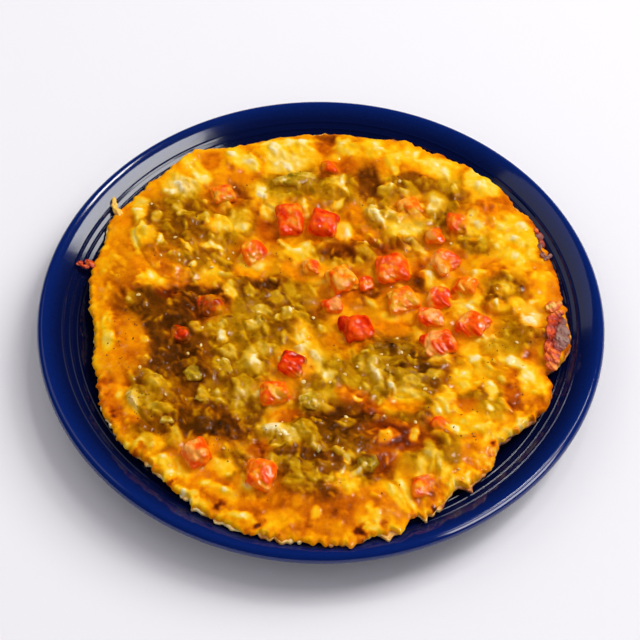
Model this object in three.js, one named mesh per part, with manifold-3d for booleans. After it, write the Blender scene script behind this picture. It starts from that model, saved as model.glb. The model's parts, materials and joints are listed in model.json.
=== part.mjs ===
import * as THREE from 'three';
import { mergeVertices } from 'three/addons/utils/BufferGeometryUtils.js';
import Module from 'manifold-3d';

// Cheese crisp on a round dinner plate: a baked flour tortilla under melted cheese,
// with chopped green chile and diced tomato. Millimetres, +Z up. The origin is the
// middle of the plate's foot ring, on the surface that the plate stands on.

const wasm = await Module();
wasm.setup();

const gap = 0.35; // clear space kept between two pieces that touch

const plate = {
  radius: 133.35, // 10.5 in across
  crestRadius: 130.4, // highest ring of the lip
  crestHeight: 22.2,
  crestFoot: 127.6, // where the rim's slope rounds over into the lip
  lipHeight: 19.3, // of the outermost edge
  floorRadius: 86,
  floorHeight: 7,
  wellRadius: 100, // the well's curve ends here and the sloping rim starts
  wellHeight: 9.8,
  rimSlope: 0.4,
  rimCurve: 0.00056, // the rim steepens a little outwards
  wall: 5.2, // measured straight down
  recess: 2.2, // hollow under the floor, inside the foot ring
  footInner: 74,
  footOuter: 80,
  footDraft: 1.3, // both sides of the foot ring lean in towards its face by this much
  underside: [124, 110, 100, 91], // radii at which the lower face is worked out
  ridges: [114.4, 117.9, 121.3], // radii of the raised rings on the rim
  ridgeWidth: 1.5,
  ridgeHeight: 0.45,
  segments: 60,
};

const crisp = {
  centre: [1, -6],
  radius: 115.5,
  // slow swings of the outline: how many to the turn, reach, degrees of the first peak
  swings: [[1, 3.8, 88], [2, 3.4, 83], [3, 3.5, 20]],
  // lobes and notches of the edge: degrees round, half width in degrees, reach
  lobes: [
    [12, 8, -2.4], [37, 4, -2.6], [50, 10, 1.2], [70, 5, 2], [108, 10, -2.2],
    [122, 6, 3.2], [150, 4, 1.8], [183, 8, -3], [210, 9, 3.8], [233, 9, -2.8],
    [276, 5, 3.2], [286, 3, 5.2], [291.5, 2.2, -2.6], [296, 2.6, 1.6], [303, 3, -2.8],
    [309, 2.4, 1.8], [321, 5, -4.2], [337, 7, 3.6], [345.5, 2, -1.6], [355, 6, 3],
  ],
  ragged: 0.8, // small tears all along the edge
  planeHeight: 18, // of the underside over the plate's middle
  tilt: 0.022, // the near edge lies higher, up on the plate's rim
  sag: 2.5, // the middle hangs below the edge
  wave: 1.2,
  waveLength: 42,
  tortilla: 1.8,
  cheese: 1.5,
  cheeseInset: 1.4, // the bread shows past the cheese
  cheeseEdge: 0.35, // share of the cheese's thickness that is left at its edge
  cheeseThinning: 0.12, // share of the reach over which it thins to that
  lump: 2.4,
  lumpLength: 15,
  pebble: 0.8,
  pebbleLength: 8,
  flattening: 0.94, // share of the lumps that is lost under chile and tomato
  rings: 13, // of the cheese's top
  edgePoints: 128,
  smoothing: 0.04,
};

// beds of chopped green chile: centre, half sizes, degrees turned, strips that show
const chileBeds = [
  { centre: [-9, 71], half: [19, 13], turn: 12, strips: 7 },
  { centre: [35, 52], half: [22, 14], turn: -20, strips: 8 },
  { centre: [-34, -19], half: [33, 36], turn: 10, strips: 22 },
  { centre: [40, -31], half: [28, 16], turn: -12, strips: 9 },
  { centre: [3, -76], half: [39, 18], turn: 6, strips: 14 },
  { centre: [-72, -54], half: [12, 17], turn: 25, strips: 6 },
  { centre: [73, 59], half: [13, 12], turn: 0, strips: 4 },
  { centre: [86, 7], half: [11, 8], turn: 30, strips: 3 },
  { centre: [-67, 41], half: [23, 22], turn: 20, strips: 9 },
];

const bedForm = {
  height: 1.9, // over the cheese, in the bed's middle
  edge: 0.7,
  swell: 0.9,
  swellLength: 9,
  wobble: 0.12, // of the outline, as a share of its half sizes
  shares: [0.36, 0.72, 1], // of its rings, from the middle to the edge
  lean: 0.96, // the side leans in to this share at the top
  spacing: 0.38, // points round the edge for each millimetre of its two half sizes
  lift: 0.2, // of its foot over the gap, so that cutting leaves no slivers
  stripLength: [5, 11],
  stripWidth: [2.6, 4.6],
  stripHeight: [1.9, 2.8],
  stripTries: 300,
};

// a piece of tomato or chile
const blockForm = {
  corners: [0.84, 1.04], // least and most reach of a corner, as a share of the half size
  slant: 0.16, // most difference in height from one end to the other, as a share of the length
  squareness: 8,
  foot: 0.95, // sizes of the foot and the top as shares of the waist
  top: 0.72,
  topEdge: 0.95, // height of the top's edge as a share of the piece's height
  rest: 0.1, // over the gap
  sink: 0.3, // of a strip into the bed it is fused to
};

// diced tomato: x, y, length, width, height over what it lies on, degrees turned
const tomatoes = [
  [-49, 70.5, 13.5, 13, 5.4, 20], [-33.4, 35.4, 12, 11, 5, 40],
  [-15.6, 55, 12.5, 19, 6.4, 6], [0.4, 52.4, 15, 15.5, 6.4, -12],
  [3, 89.6, 10, 8, 3.4, 0], [43.4, 63.5, 11.5, 12.5, 4.8, 30],
  [53.6, 46, 10, 9.4, 4.2, 10], [65.8, 53, 10.5, 12, 4.6, 0],
  [58, 31, 13.5, 13, 5, 45], [33.6, 26.4, 16.5, 16, 6.6, 10],
  [-5, 26.6, 10, 9.4, 5, 0], [9.2, 19.4, 14, 15.6, 6.6, 28],
  [21.6, 17.6, 7.2, 8, 4, 15], [4.5, 3.5, 10.5, 9, 4.4, 20],
  [38.2, 8.4, 15, 14, 5.6, 20], [56.4, 9.4, 11, 12.5, 5.2, 0],
  [68.6, 15.6, 13, 11, 5.4, -20], [51.2, -2.6, 14, 10, 5.4, 0],
  [17.6, -9.6, 15.5, 15, 5.8, 15], [54.6, -18.6, 18, 15, 6.6, 15],
  [72, -7.6, 15, 14, 5.8, -30], [46.6, -97, 13.5, 13, 3.8, 5],
  [-54.6, -82, 13.5, 13.5, 7, 35], [-26.1, -93.7, 13.5, 16, 7, -10],
  [-12.4, -33, 13.5, 14, 5.8, -20], [-20.4, -48, 15, 12, 5.4, 10],
  [54.1, -64, 8, 8, 3.8, 30], [-51.5, 1.4, 13, 14, 4.4, 5],
  [-65.2, -15.5, 8.5, 7.4, 3.4, 0],
];

// the largest pieces of green chile: the same values
const chiles = [
  [-14, 81, 24, 10, 3.4, 12], [24.3, 59.5, 6.4, 12, 2.8, 10],
  [39, 44, 13, 8.4, 3, 20], [-74.2, -45, 8.6, 14.6, 3, 25],
  [-85, -53, 5, 11, 2.6, 20], [-69, -65, 7, 5.4, 3, 0],
  [-57, -37, 12, 9.6, 3, 30], [-43.4, -34, 5.2, 13, 2.8, 20],
  [-54, -51, 9, 6, 2.6, -10], [-3.4, -51.6, 12.6, 11.6, 3.6, 15],
  [-21, -68, 11, 5, 2.8, -20], [-1.6, -76, 5, 14, 3, 12],
  [22, -86, 10, 10, 4, 20], [-11.6, -9.5, 10, 12.6, 3, 20],
  [33, -20.5, 22, 6, 2.4, -5], [38, -36, 24, 6.6, 2.4, -12],
  [-12.4, -77.4, 7, 6, 2.8, 20],
];

// burnt and curled bits fused to the cheese at its edge: the same values
const edgeBits = [
  [107.6, -17.5, 12, 28, 5.2, 4], [106.8, 0.6, 9, 10, 4.4, 20],
  [104.6, 34, 5, 15, 3.4, 22], [-99.5, 66.5, 9, 2.6, 2.4, 145],
  [-113, 26.5, 12, 3.4, 2.2, 168],
];

const looks = {
  plate: { color: 0x14206b, roughness: 0.08 },
  tortilla: { color: 0xe2b56a, roughness: 0.7 },
  cheese: { color: 0xe59a1c, roughness: 0.3 },
  chileBed: { color: 0x8f7a12, roughness: 0.3 },
  tomato: { color: 0xdb4a1e, roughness: 0.22 },
  chile: { color: 0xb09a30, roughness: 0.28 },
};

function seededRandom(seed) {
  let state = seed;
  return () => {
    state = (state * 1664525 + 1013904223) % 4294967296;
    return state / 4294967296;
  };
}

function between([least, most], random) {
  return least + (most - least) * random();
}

function corner(ix, iy, seed) {
  const value = Math.sin(ix * 127.1 + iy * 311.7 + seed * 74.7) * 43758.5453;
  return value - Math.floor(value);
}

function ease(t) {
  const inside = Math.min(Math.max(t, 0), 1);
  return inside * inside * (3 - 2 * inside);
}

// smooth hills from 0 to 1, one to each unit square or so
function hills(x, y, seed) {
  const ix = Math.floor(x);
  const iy = Math.floor(y);
  const sx = ease(x - ix);
  const sy = ease(y - iy);
  const near = corner(ix, iy, seed) * (1 - sx) + corner(ix + 1, iy, seed) * sx;
  const far = corner(ix, iy + 1, seed) * (1 - sx) + corner(ix + 1, iy + 1, seed) * sx;
  return near * (1 - sy) + far * sy;
}

function turned(x, y, degrees) {
  const angle = THREE.MathUtils.degToRad(degrees);
  const along = x * Math.cos(angle) - y * Math.sin(angle);
  const across = x * Math.sin(angle) + y * Math.cos(angle);
  return [along, across];
}

// height of the plate's glazed upper face, without its raised rings
function plateTop(r) {
  if (r < plate.floorRadius) {
    return plate.floorHeight;
  }
  if (r < plate.wellRadius) {
    const share = (r - plate.floorRadius) / (plate.wellRadius - plate.floorRadius);
    return plate.floorHeight + (plate.wellHeight - plate.floorHeight) * share * share;
  }
  const out = r - plate.wellRadius;
  return plate.wellHeight + plate.rimSlope * out + plate.rimCurve * out * out;
}

// edge of the crisp, as its reach from the crisp's centre in one direction
function crispReach(degrees) {
  let reach = crisp.radius;
  for (const [count, size, peak] of crisp.swings) {
    reach += size * Math.cos(THREE.MathUtils.degToRad((degrees - peak) * count));
  }
  for (const [at, halfWidth, size] of crisp.lobes) {
    const away = ((degrees - at + 540) % 360) - 180;
    reach += size * Math.exp(-((away / halfWidth) ** 2));
  }
  const tears = hills(degrees / 3, 0.5, 21) * 2 - 1;
  const closing = ease(Math.min(degrees, 360 - degrees) / 6);
  return reach + crisp.ragged * tears * closing;
}

// 0 at the crisp's centre, 1 on its edge
function crispShare(x, y) {
  const dx = x - crisp.centre[0];
  const dy = y - crisp.centre[1];
  const degrees = (THREE.MathUtils.radToDeg(Math.atan2(dy, dx)) + 360) % 360;
  return Math.hypot(dx, dy) / crispReach(degrees);
}

// the crisp spans the dish as a stiff wavy sheet and lies on the rim where it reaches it
function undersideHeight(x, y) {
  const share = crispShare(x, y);
  const waves = crisp.wave * (hills(x / crisp.waveLength, y / crisp.waveLength, 3) * 2 - 1);
  const hanging = crisp.sag * (1 - share * share);
  const free = crisp.planeHeight - crisp.tilt * y - hanging + waves;
  const bearing = plateTop(Math.hypot(x, y)) + plate.ridgeHeight + gap;
  return Math.max(free, bearing);
}

function tortillaTop(x, y) {
  return undersideHeight(x, y) + crisp.tortilla;
}

// 0 in the middle of a chile bed, 1 on its edge
function bedShare(bed, x, y) {
  const [dx, dy] = turned(x - bed.centre[0], y - bed.centre[1], -bed.turn);
  return Math.hypot(dx / bed.half[0], dy / bed.half[1]);
}

// 1 as far out as a piece's own edge, easing to 0 outside it; away is in half sizes
function nearness(away, reach, fade) {
  return ease((reach - away) / fade);
}

// how far the cheese is flattened, 1 under a bed or a loose piece and 0 in the open
function cover(x, y) {
  const beds = chileBeds.map((bed) => nearness(bedShare(bed, x, y), 1.25, 0.4));
  return Math.max(...beds, looseCover(x, y));
}

function looseCover(x, y) {
  return Math.max(...[...tomatoes, ...chiles].map(([px, py, length, width]) => {
    const away = 2 * Math.hypot(x - px, y - py) / Math.max(length, width);
    return nearness(away, 1.9, 0.6);
  }));
}

// melted cheese: lumpy in the open, flattened under the chile, thin at its edge
function cheeseTop(x, y) {
  const lump = crisp.lump * hills(x / crisp.lumpLength, y / crisp.lumpLength, 7);
  const pebble = crisp.pebble * hills(x / crisp.pebbleLength, y / crisp.pebbleLength, 9);
  const open = 1 - crisp.flattening * cover(x, y);
  const inwards = ease((1 - crispShare(x, y)) / crisp.cheeseThinning);
  const fullness = crisp.cheeseEdge + (1 - crisp.cheeseEdge) * inwards;
  return tortillaTop(x, y) + gap + (crisp.cheese + (lump + pebble) * open) * fullness;
}

function bedTop(bed, x, y) {
  const hill = hills(x / bedForm.swellLength, y / bedForm.swellLength, 13);
  const swell = bedForm.swell * hill * (1 - looseCover(x, y));
  const inwards = ease((1 - bedShare(bed, x, y)) / 0.6);
  const height = bedForm.edge + (bedForm.height - bedForm.edge + swell) * inwards;
  return cheeseTop(x, y) + gap + height;
}

// closed solid through a stack of rings, each wound counterclockwise seen from above,
// from the lowest to the highest; rings may differ in their number of points
function ringSolid(rings, lowest, highest) {
  const points = [];
  const starts = [];
  for (const ring of rings) {
    starts.push(points.length);
    points.push(...ring);
  }
  const faces = [];
  for (let k = 0; k + 1 < rings.length; k += 1) {
    const n = rings[k].length;
    const m = rings[k + 1].length;
    let i = 0;
    let j = 0;
    while (i < n || j < m) {
      const low = starts[k] + (i % n);
      const high = starts[k + 1] + (j % m);
      if (j >= m || (i < n && (i + 1) / n <= (j + 1) / m)) {
        i += 1;
        faces.push(low, starts[k] + (i % n), high);
      } else {
        j += 1;
        faces.push(low, starts[k + 1] + (j % m), high);
      }
    }
  }
  const bottom = points.push(lowest) - 1;
  const top = points.push(highest) - 1;
  const last = rings.length - 1;
  rings[0].forEach((point, i, ring) => {
    faces.push(bottom, starts[0] + ((i + 1) % ring.length), starts[0] + i);
  });
  rings[last].forEach((point, i, ring) => {
    faces.push(top, starts[last] + i, starts[last] + ((i + 1) % ring.length));
  });
  const geometry = new THREE.BufferGeometry();
  geometry.setAttribute('position', new THREE.Float32BufferAttribute(points.flat(), 3));
  geometry.setIndex(faces);
  return geometry;
}

function solidOf(geometry) {
  return new wasm.Manifold(new wasm.Mesh({
    numProp: 3,
    vertProperties: new Float32Array(geometry.attributes.position.array),
    triVerts: new Uint32Array(geometry.index.array),
  }));
}

function geometryOf(solid) {
  const mesh = solid.getMesh();
  const geometry = new THREE.BufferGeometry();
  geometry.setAttribute('position', new THREE.BufferAttribute(mesh.vertProperties, 3));
  geometry.setIndex(new THREE.BufferAttribute(mesh.triVerts, 1));
  return geometry;
}

function lifted(solid) {
  return solid.translate([0, 0, gap]);
}

// cutting can leave loose scraps, of which only the main one is kept, and thin slivers
// between faces that nearly lie in one plane, which are smoothed away
function mainBody(solid) {
  const largest = solid.decompose().sort((a, b) => b.volume() - a.volume())[0];
  return largest.asOriginal().simplify(crisp.smoothing);
}

function latheSolid(profile, segments) {
  const points = profile.map(([r, z]) => new THREE.Vector2(r, z));
  const geometry = new THREE.LatheGeometry(points, segments);
  geometry.rotateX(Math.PI / 2);
  geometry.deleteAttribute('normal');
  geometry.deleteAttribute('uv');
  return mergeVertices(geometry, 1e-4);
}

function plateGeometry() {
  const upper = [[0, plate.floorHeight], [plate.floorRadius, plate.floorHeight]];
  for (let k = 1; k < 3; k += 1) {
    const r = plate.floorRadius + (plate.wellRadius - plate.floorRadius) * k / 3;
    upper.push([r, plateTop(r)]);
  }
  upper.push([plate.wellRadius, plateTop(plate.wellRadius)]);
  for (const r of plate.ridges) {
    const half = plate.ridgeWidth / 2;
    upper.push([r - half, plateTop(r - half)]);
    upper.push([r, plateTop(r) + plate.ridgeHeight]);
    upper.push([r + half, plateTop(r + half)]);
  }
  upper.push([plate.crestFoot, plateTop(plate.crestFoot)]);
  const lipOut = plate.radius - plate.crestRadius;
  const lipDrop = plate.crestHeight - plate.lipHeight;
  const lip = [];
  for (const degrees of [90, 60, 30, 0, -40, -75]) {
    const angle = THREE.MathUtils.degToRad(degrees);
    const r = plate.crestRadius + lipOut * Math.cos(angle);
    lip.push([r, plate.lipHeight + lipDrop * Math.sin(angle)]);
  }
  const lower = plate.underside.map((r) => [r, plateTop(r) - plate.wall]);
  const foot = [
    [plate.footOuter + plate.footDraft, plate.recess * 0.7],
    [plate.footOuter, 0],
    [plate.footInner, 0],
    [plate.footInner - plate.footDraft, plate.recess],
    [0, plate.recess],
  ];
  const profile = [...upper, ...lip, ...lower, ...foot].reverse();
  return latheSolid(profile, plate.segments);
}

// ring of points at a share of the crisp's reach, at the heights that a function gives;
// an inset draws the ring in and leaves its heights as they are
function crispRing(share, count, inset, heightAt) {
  const ring = [];
  for (let k = 0; k < count; k += 1) {
    const degrees = 360 * k / count;
    const angle = THREE.MathUtils.degToRad(degrees);
    const reach = crispReach(degrees) * share;
    const x = crisp.centre[0] + reach * Math.cos(angle);
    const y = crisp.centre[1] + reach * Math.sin(angle);
    ring.push([x - inset * Math.cos(angle), y - inset * Math.sin(angle), heightAt(x, y)]);
  }
  return ring;
}

// the bread's two faces and the cheese's lower face are split alike, so they never cross
function breadRings(inset, heightAt) {
  const rings = [];
  for (const [share, parts] of [[0.2, 16], [0.4, 8], [0.6, 4], [0.8, 2], [0.93, 1]]) {
    rings.push(crispRing(share, crisp.edgePoints / parts, 0, heightAt));
  }
  rings.push(crispRing(1, crisp.edgePoints, inset, heightAt));
  return rings;
}

function crispMiddle(heightAt) {
  const [x, y] = crisp.centre;
  return [x, y, heightAt(x, y)];
}

function tortillaGeometry() {
  const lower = breadRings(0, undersideHeight);
  const upper = breadRings(0, tortillaTop).reverse();
  return ringSolid([...lower, ...upper], crispMiddle(undersideHeight), crispMiddle(tortillaTop));
}

// rough block with a rounded top, whose foot follows what it lies on or sinks in
function block([x, y, length, width, height, turn], footAt, sides, seed) {
  const random = seededRandom(seed);
  const corners = [];
  for (let k = 0; k < sides; k += 1) {
    corners.push(between(blockForm.corners, random));
  }
  const slant = (random() - 0.5) * blockForm.slant;
  const middle = footAt(x, y);
  const power = blockForm.squareness;
  const ringAt = (share, heightAt) => corners.map((out, k) => {
    const angle = 2 * Math.PI * (k + 0.5) / sides;
    const cos = Math.cos(angle);
    const sin = Math.sin(angle);
    const square = (Math.abs(cos) ** power + Math.abs(sin) ** power) ** (-1 / power);
    const along = cos * square * out * share * length / 2;
    const across = sin * square * out * share * width / 2;
    const [dx, dy] = turned(along, across, turn);
    return [x + dx, y + dy, heightAt(x + dx, y + dy, slant * along)];
  });
  const foot = ringAt(blockForm.foot, footAt);
  const waist = ringAt(1, (px, py, rise) => (footAt(px, py) + middle + height) / 2 + rise);
  const top = ringAt(blockForm.top, (px, py, rise) => middle + height * blockForm.topEdge + rise);
  return ringSolid([foot, waist, top], [x, y, middle], [x, y, middle + height]);
}

function cheeseSolid() {
  const footAt = (x, y) => tortillaTop(x, y) + gap;
  const lower = breadRings(crisp.cheeseInset, footAt);
  const upper = [crispRing(1, crisp.edgePoints, crisp.cheeseInset, cheeseTop)];
  for (let k = crisp.rings - 1; k > 0; k -= 1) {
    upper.push(crispRing(k / crisp.rings, 8 * k, 0, cheeseTop));
  }
  const rings = [...lower, ...upper];
  let solid = solidOf(ringSolid(rings, crispMiddle(footAt), crispMiddle(cheeseTop)));
  const bread = lifted(solidOf(tortillaGeometry()));
  edgeBits.forEach((values, k) => {
    const bit = solidOf(block(values, footAt, 8, 300 + k));
    solid = solid.add(bit.subtract(bread));
  });
  return mainBody(solid);
}

// a bed without its strips; one with room to spare cuts the loose pieces that lie on it
function bedCore(bed, spare) {
  const around = Math.round((bed.half[0] + bed.half[1]) * bedForm.spacing);
  const ringAt = (share, count, heightAt) => {
    const ring = [];
    for (let k = 0; k < count; k += 1) {
      const angle = 2 * Math.PI * k / count;
      const wobble = 1 + bedForm.wobble * Math.sin(3 * angle + bed.turn) * share;
      const [dx, dy] = turned(
        (bed.half[0] * share * wobble + spare) * Math.cos(angle),
        (bed.half[1] * share * wobble + spare) * Math.sin(angle),
        bed.turn,
      );
      const x = bed.centre[0] + dx;
      const y = bed.centre[1] + dy;
      ring.push([x, y, heightAt(x, y)]);
    }
    return ring;
  };
  const foot = (x, y) => cheeseTop(x, y) + gap + bedForm.lift - 3 * spare;
  const top = (x, y) => bedTop(bed, x, y);
  const [x, y] = bed.centre;
  const [inner, middle, edge] = bedForm.shares;
  const few = Math.ceil(around / 2);
  const rings = [
    ringAt(inner, few, foot),
    ringAt(middle, around, foot),
    ringAt(edge, around, foot),
    ringAt(edge * bedForm.lean, around, top),
    ringAt(middle, around, top),
    ringAt(inner, few, top),
  ];
  const core = solidOf(ringSolid(rings, [x, y, foot(x, y)], [x, y, top(x, y)]));
  return spare > 0 ? core : mainBody(core.subtract(lifted(cheese)));
}

// the bed's core with strips of chile fused on, which keep clear of the loose pieces
function stripedBed(bed, core, loose, seed) {
  const random = seededRandom(seed);
  const laid = [];
  let solid = core;
  for (let k = 0; k < bedForm.stripTries && laid.length < bed.strips; k += 1) {
    const angle = 2 * Math.PI * random();
    const share = 0.8 * Math.sqrt(random());
    const [dx, dy] = turned(
      bed.half[0] * Math.cos(angle) * share,
      bed.half[1] * Math.sin(angle) * share,
      bed.turn,
    );
    const x = bed.centre[0] + dx;
    const y = bed.centre[1] + dy;
    const length = between(bedForm.stripLength, random);
    const width = between(bedForm.stripWidth, random);
    const height = between(bedForm.stripHeight, random);
    const values = [x, y, length, width, height, 180 * random()];
    const strip = solidOf(block(values, sunkHeight, 4, seed + k));
    const apart = laid.every(([ox, oy, other]) => Math.hypot(x - ox, y - oy) > (length + other) / 2);
    if (apart && loose.every((piece) => strip.minGap(piece, 2 * gap) > gap)) {
      solid = solid.add(strip.subtract(lifted(cheese)));
      laid.push([x, y, length]);
    }
  }
  return mainBody(solid);
}

const model = new THREE.Group();

function addPiece(name, geometry, look) {
  geometry.computeVertexNormals();
  const piece = new THREE.Mesh(geometry, new THREE.MeshStandardMaterial(look));
  piece.name = name;
  model.add(piece);
}

function numbered(name, k) {
  return `${name}_${String(k + 1).padStart(2, '0')}`;
}

const cheese = cheeseSolid();
const cores = chileBeds.map((bed) => bedCore(bed, 0));
const cutters = chileBeds.map((bed) => bedCore(bed, 2 * gap));

// height of the solids that a loose piece lies on
const downward = new THREE.Raycaster();
const surfaces = [cheese, ...cores].map((solid) => new THREE.Mesh(geometryOf(solid)));
function surfaceHeight(x, y) {
  const start = 2 * plate.crestHeight;
  downward.set(new THREE.Vector3(x, y, start), new THREE.Vector3(0, 0, -1));
  return start - downward.intersectObjects(surfaces)[0].distance;
}

function restingHeight(x, y) {
  return surfaceHeight(x, y) + gap + blockForm.rest;
}

function sunkHeight(x, y) {
  return surfaceHeight(x, y) - blockForm.sink;
}

function topping(values, sides, seed) {
  let solid = solidOf(block(values, restingHeight, sides, seed));
  for (const under of [cheese, ...cores, ...cutters]) {
    solid = solid.subtract(under).subtract(lifted(under));
  }
  return mainBody(solid);
}

const dice = tomatoes.map((values, k) => topping(values, 4, 100 + k));
const pieces = chiles.map((values, k) => topping(values, 6, 200 + k));
const loose = [...dice, ...pieces];
const beds = chileBeds.map((bed, k) => stripedBed(bed, cores[k], loose, 500 + 400 * k));

addPiece('plate', plateGeometry(), looks.plate);
addPiece('tortilla', tortillaGeometry(), looks.tortilla);
addPiece('cheese', geometryOf(cheese), looks.cheese);
beds.forEach((solid, k) => addPiece(numbered('chile_bed', k), geometryOf(solid), looks.chileBed));
dice.forEach((solid, k) => addPiece(numbered('tomato', k), geometryOf(solid), looks.tomato));
pieces.forEach((solid, k) => addPiece(numbered('chile', k), geometryOf(solid), looks.chile));

export default model;
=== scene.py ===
import json
import math

import bpy
import numpy as np
from mathutils import Matrix, Quaternion, Vector
from mathutils.bvhtree import BVHTree

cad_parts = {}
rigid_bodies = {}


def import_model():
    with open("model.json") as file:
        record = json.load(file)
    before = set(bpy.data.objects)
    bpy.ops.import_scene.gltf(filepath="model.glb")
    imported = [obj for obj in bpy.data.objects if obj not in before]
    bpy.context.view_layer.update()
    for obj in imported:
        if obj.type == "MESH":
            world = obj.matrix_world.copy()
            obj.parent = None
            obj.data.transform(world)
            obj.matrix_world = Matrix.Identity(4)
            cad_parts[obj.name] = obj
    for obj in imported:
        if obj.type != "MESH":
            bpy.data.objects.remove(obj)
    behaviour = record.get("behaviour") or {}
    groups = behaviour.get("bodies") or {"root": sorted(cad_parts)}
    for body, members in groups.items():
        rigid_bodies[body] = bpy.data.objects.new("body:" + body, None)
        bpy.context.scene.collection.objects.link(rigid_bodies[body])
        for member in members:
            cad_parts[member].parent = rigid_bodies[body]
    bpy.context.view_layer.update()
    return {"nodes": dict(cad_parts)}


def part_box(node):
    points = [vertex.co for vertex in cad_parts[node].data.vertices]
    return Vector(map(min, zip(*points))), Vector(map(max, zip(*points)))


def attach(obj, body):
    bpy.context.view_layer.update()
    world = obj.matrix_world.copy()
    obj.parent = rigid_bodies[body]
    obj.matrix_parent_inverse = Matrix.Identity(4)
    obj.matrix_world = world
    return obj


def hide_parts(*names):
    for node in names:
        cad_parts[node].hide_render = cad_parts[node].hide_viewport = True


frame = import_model()
cadNodes = frame["nodes"]
scene = bpy.context.scene
mm = 0.001

print("frame loaded:", len(cadNodes), "nodes")


# Small tools

def toLinear(hexColour):
    channels = [int(hexColour[k:k + 2], 16) / 255 for k in (1, 3, 5)]
    return [c / 12.92 if c <= 0.04045 else ((c + 0.055) / 1.055) ** 2.4 for c in channels] + [1]


def addNode(tree, kind, inputs=None, stops=None, **settings):
    node = tree.nodes.new(kind)
    for name, value in settings.items():
        setattr(node, name, value)
    for key, value in (inputs or {}).items():
        if isinstance(value, bpy.types.NodeSocket):
            tree.links.new(value, node.inputs[key])
        else:
            node.inputs[key].default_value = value
    if stops:  # colour ramp: place and colour of each stop
        elements = node.color_ramp.elements
        while len(elements) < len(stops):
            elements.new(0.5)
        for element, (place, colour) in zip(elements, stops):
            element.position = place
            element.color = toLinear(colour)
    return node


def newMaterial(name):
    material = bpy.data.materials.new(name)
    material.use_nodes = True
    tree = material.node_tree
    tree.nodes.clear()
    return material, tree


def noise(tree, place, scale, detail, **shape):
    values = {"Vector": place, "Scale": scale, "Detail": detail, **shape}
    return addNode(tree, "ShaderNodeTexNoise", values).outputs[0]


def scaled(tree, value, factor, added):
    values = {0: value, 1: factor, 2: added}
    return addNode(tree, "ShaderNodeMath", values, operation="MULTIPLY_ADD").outputs[0]


def ramp(tree, value, *stops):
    return addNode(tree, "ShaderNodeValToRGB", {0: value}, stops=stops).outputs[0]


def mixed(tree, share, first, second):
    values = {0: share, 6: first, 7: second}
    return addNode(tree, "ShaderNodeMix", values, data_type="RGBA").outputs[2]


def bumped(tree, height, strength, depth, below=None):  # depth in m; below is the bump it lies on
    values = {"Height": height, "Strength": strength, "Distance": depth}
    if below:
        values["Normal"] = below
    return addNode(tree, "ShaderNodeBump", values).outputs[0]


def paintedParts(tree, name):  # the four values that paint() gave each point
    painted = addNode(tree, "ShaderNodeAttribute", attribute_name=name)
    split = addNode(tree, "ShaderNodeSeparateColor", {0: painted.outputs["Color"]})
    return [*split.outputs, painted.outputs["Alpha"]]


def coverWith(tree, values):
    shader = addNode(tree, "ShaderNodeBsdfPrincipled", values)
    addNode(tree, "ShaderNodeOutputMaterial", {0: shader.outputs[0]})


def deselectAll():
    if bpy.context.object and bpy.context.object.mode != "OBJECT":
        bpy.ops.object.mode_set(mode="OBJECT")
    bpy.ops.object.select_all(action="DESELECT")


def choose(piece):
    deselectAll()
    piece.select_set(True)
    bpy.context.view_layer.objects.active = piece


def applyModifier(piece, kind, **settings):
    choose(piece)
    modifier = piece.modifiers.new(kind.lower(), kind)
    for name, value in settings.items():
        setattr(modifier, name, value)
    bpy.ops.object.modifier_apply(modifier=modifier.name)


def finishPiece(piece, name, material, replaced=()):
    piece.name = piece.data.name = name
    piece.data.materials.clear()
    piece.data.materials.append(material)
    choose(piece)
    bpy.ops.object.transform_apply(location=True, rotation=True, scale=True)
    bpy.ops.object.shade_smooth()
    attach(piece, "root")
    if replaced:
        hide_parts(*replaced)
    return piece


def coordinates(piece):
    places = np.empty(len(piece.data.vertices) * 3)
    piece.data.vertices.foreach_get("co", places)
    return places.reshape(-1, 3) / mm


def moveVertices(piece, places):
    piece.data.vertices.foreach_set("co", (places * mm).ravel())
    piece.data.update()


def pieceFrom(places, faces, name):
    mesh = bpy.data.meshes.new(name)
    mesh.from_pydata((np.asarray(places) * mm).tolist(), [], faces)
    piece = bpy.data.objects.new(name, mesh)
    scene.collection.objects.link(piece)
    return piece


def paint(piece, name, channels):
    layer = piece.data.attributes.new(name, "FLOAT_COLOR", "POINT")
    layer.data.foreach_set("color", np.stack(channels, axis=1).astype(np.float32).ravel())


# Noise and the fields that every topping shares, all in mm

def ease(t):
    inside = np.clip(t, 0, 1)
    return inside * inside * (3 - 2 * inside)


def cornerValue(ix, iy, seed):
    value = np.sin(ix * 127.1 + iy * 311.7 + seed * 74.7) * 43758.5453
    return value - np.floor(value)


def hills(x, y, length, seed):  # smooth hills from 0 to 1
    u = (x * 0.8 + y * 0.6) / length
    v = (y * 0.8 - x * 0.6) / length
    ix = np.floor(u)
    iy = np.floor(v)
    sx = ease(u - ix)
    sy = ease(v - iy)
    near = cornerValue(ix, iy, seed) * (1 - sx) + cornerValue(ix + 1, iy, seed) * sx
    far = cornerValue(ix, iy + 1, seed) * (1 - sx) + cornerValue(ix + 1, iy + 1, seed) * sx
    return near * (1 - sy) + far * sy


def roughness(x, y, length, seed):  # three sizes of hills, from about -1 to 1
    large = hills(x, y, length, seed)
    middle = hills(x, y, length / 2.1, seed + 1)
    small = hills(x, y, length / 4.3, seed + 2)
    return (large - 0.5) * 1.1 + (middle - 0.5) * 0.6 + (small - 0.5) * 0.3


def turned(x, y, degrees):
    angle = math.radians(degrees)
    return x * math.cos(angle) - y * math.sin(angle), x * math.sin(angle) + y * math.cos(angle)


fieldSize = {"reach": 124, "step": 0.5}
fieldLine = np.arange(-fieldSize["reach"], fieldSize["reach"] + 0.1, fieldSize["step"])
fieldX, fieldY = np.meshgrid(fieldLine, fieldLine, indexing="ij")
crispCentre = (1, -6)
crispRadius = 115


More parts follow.
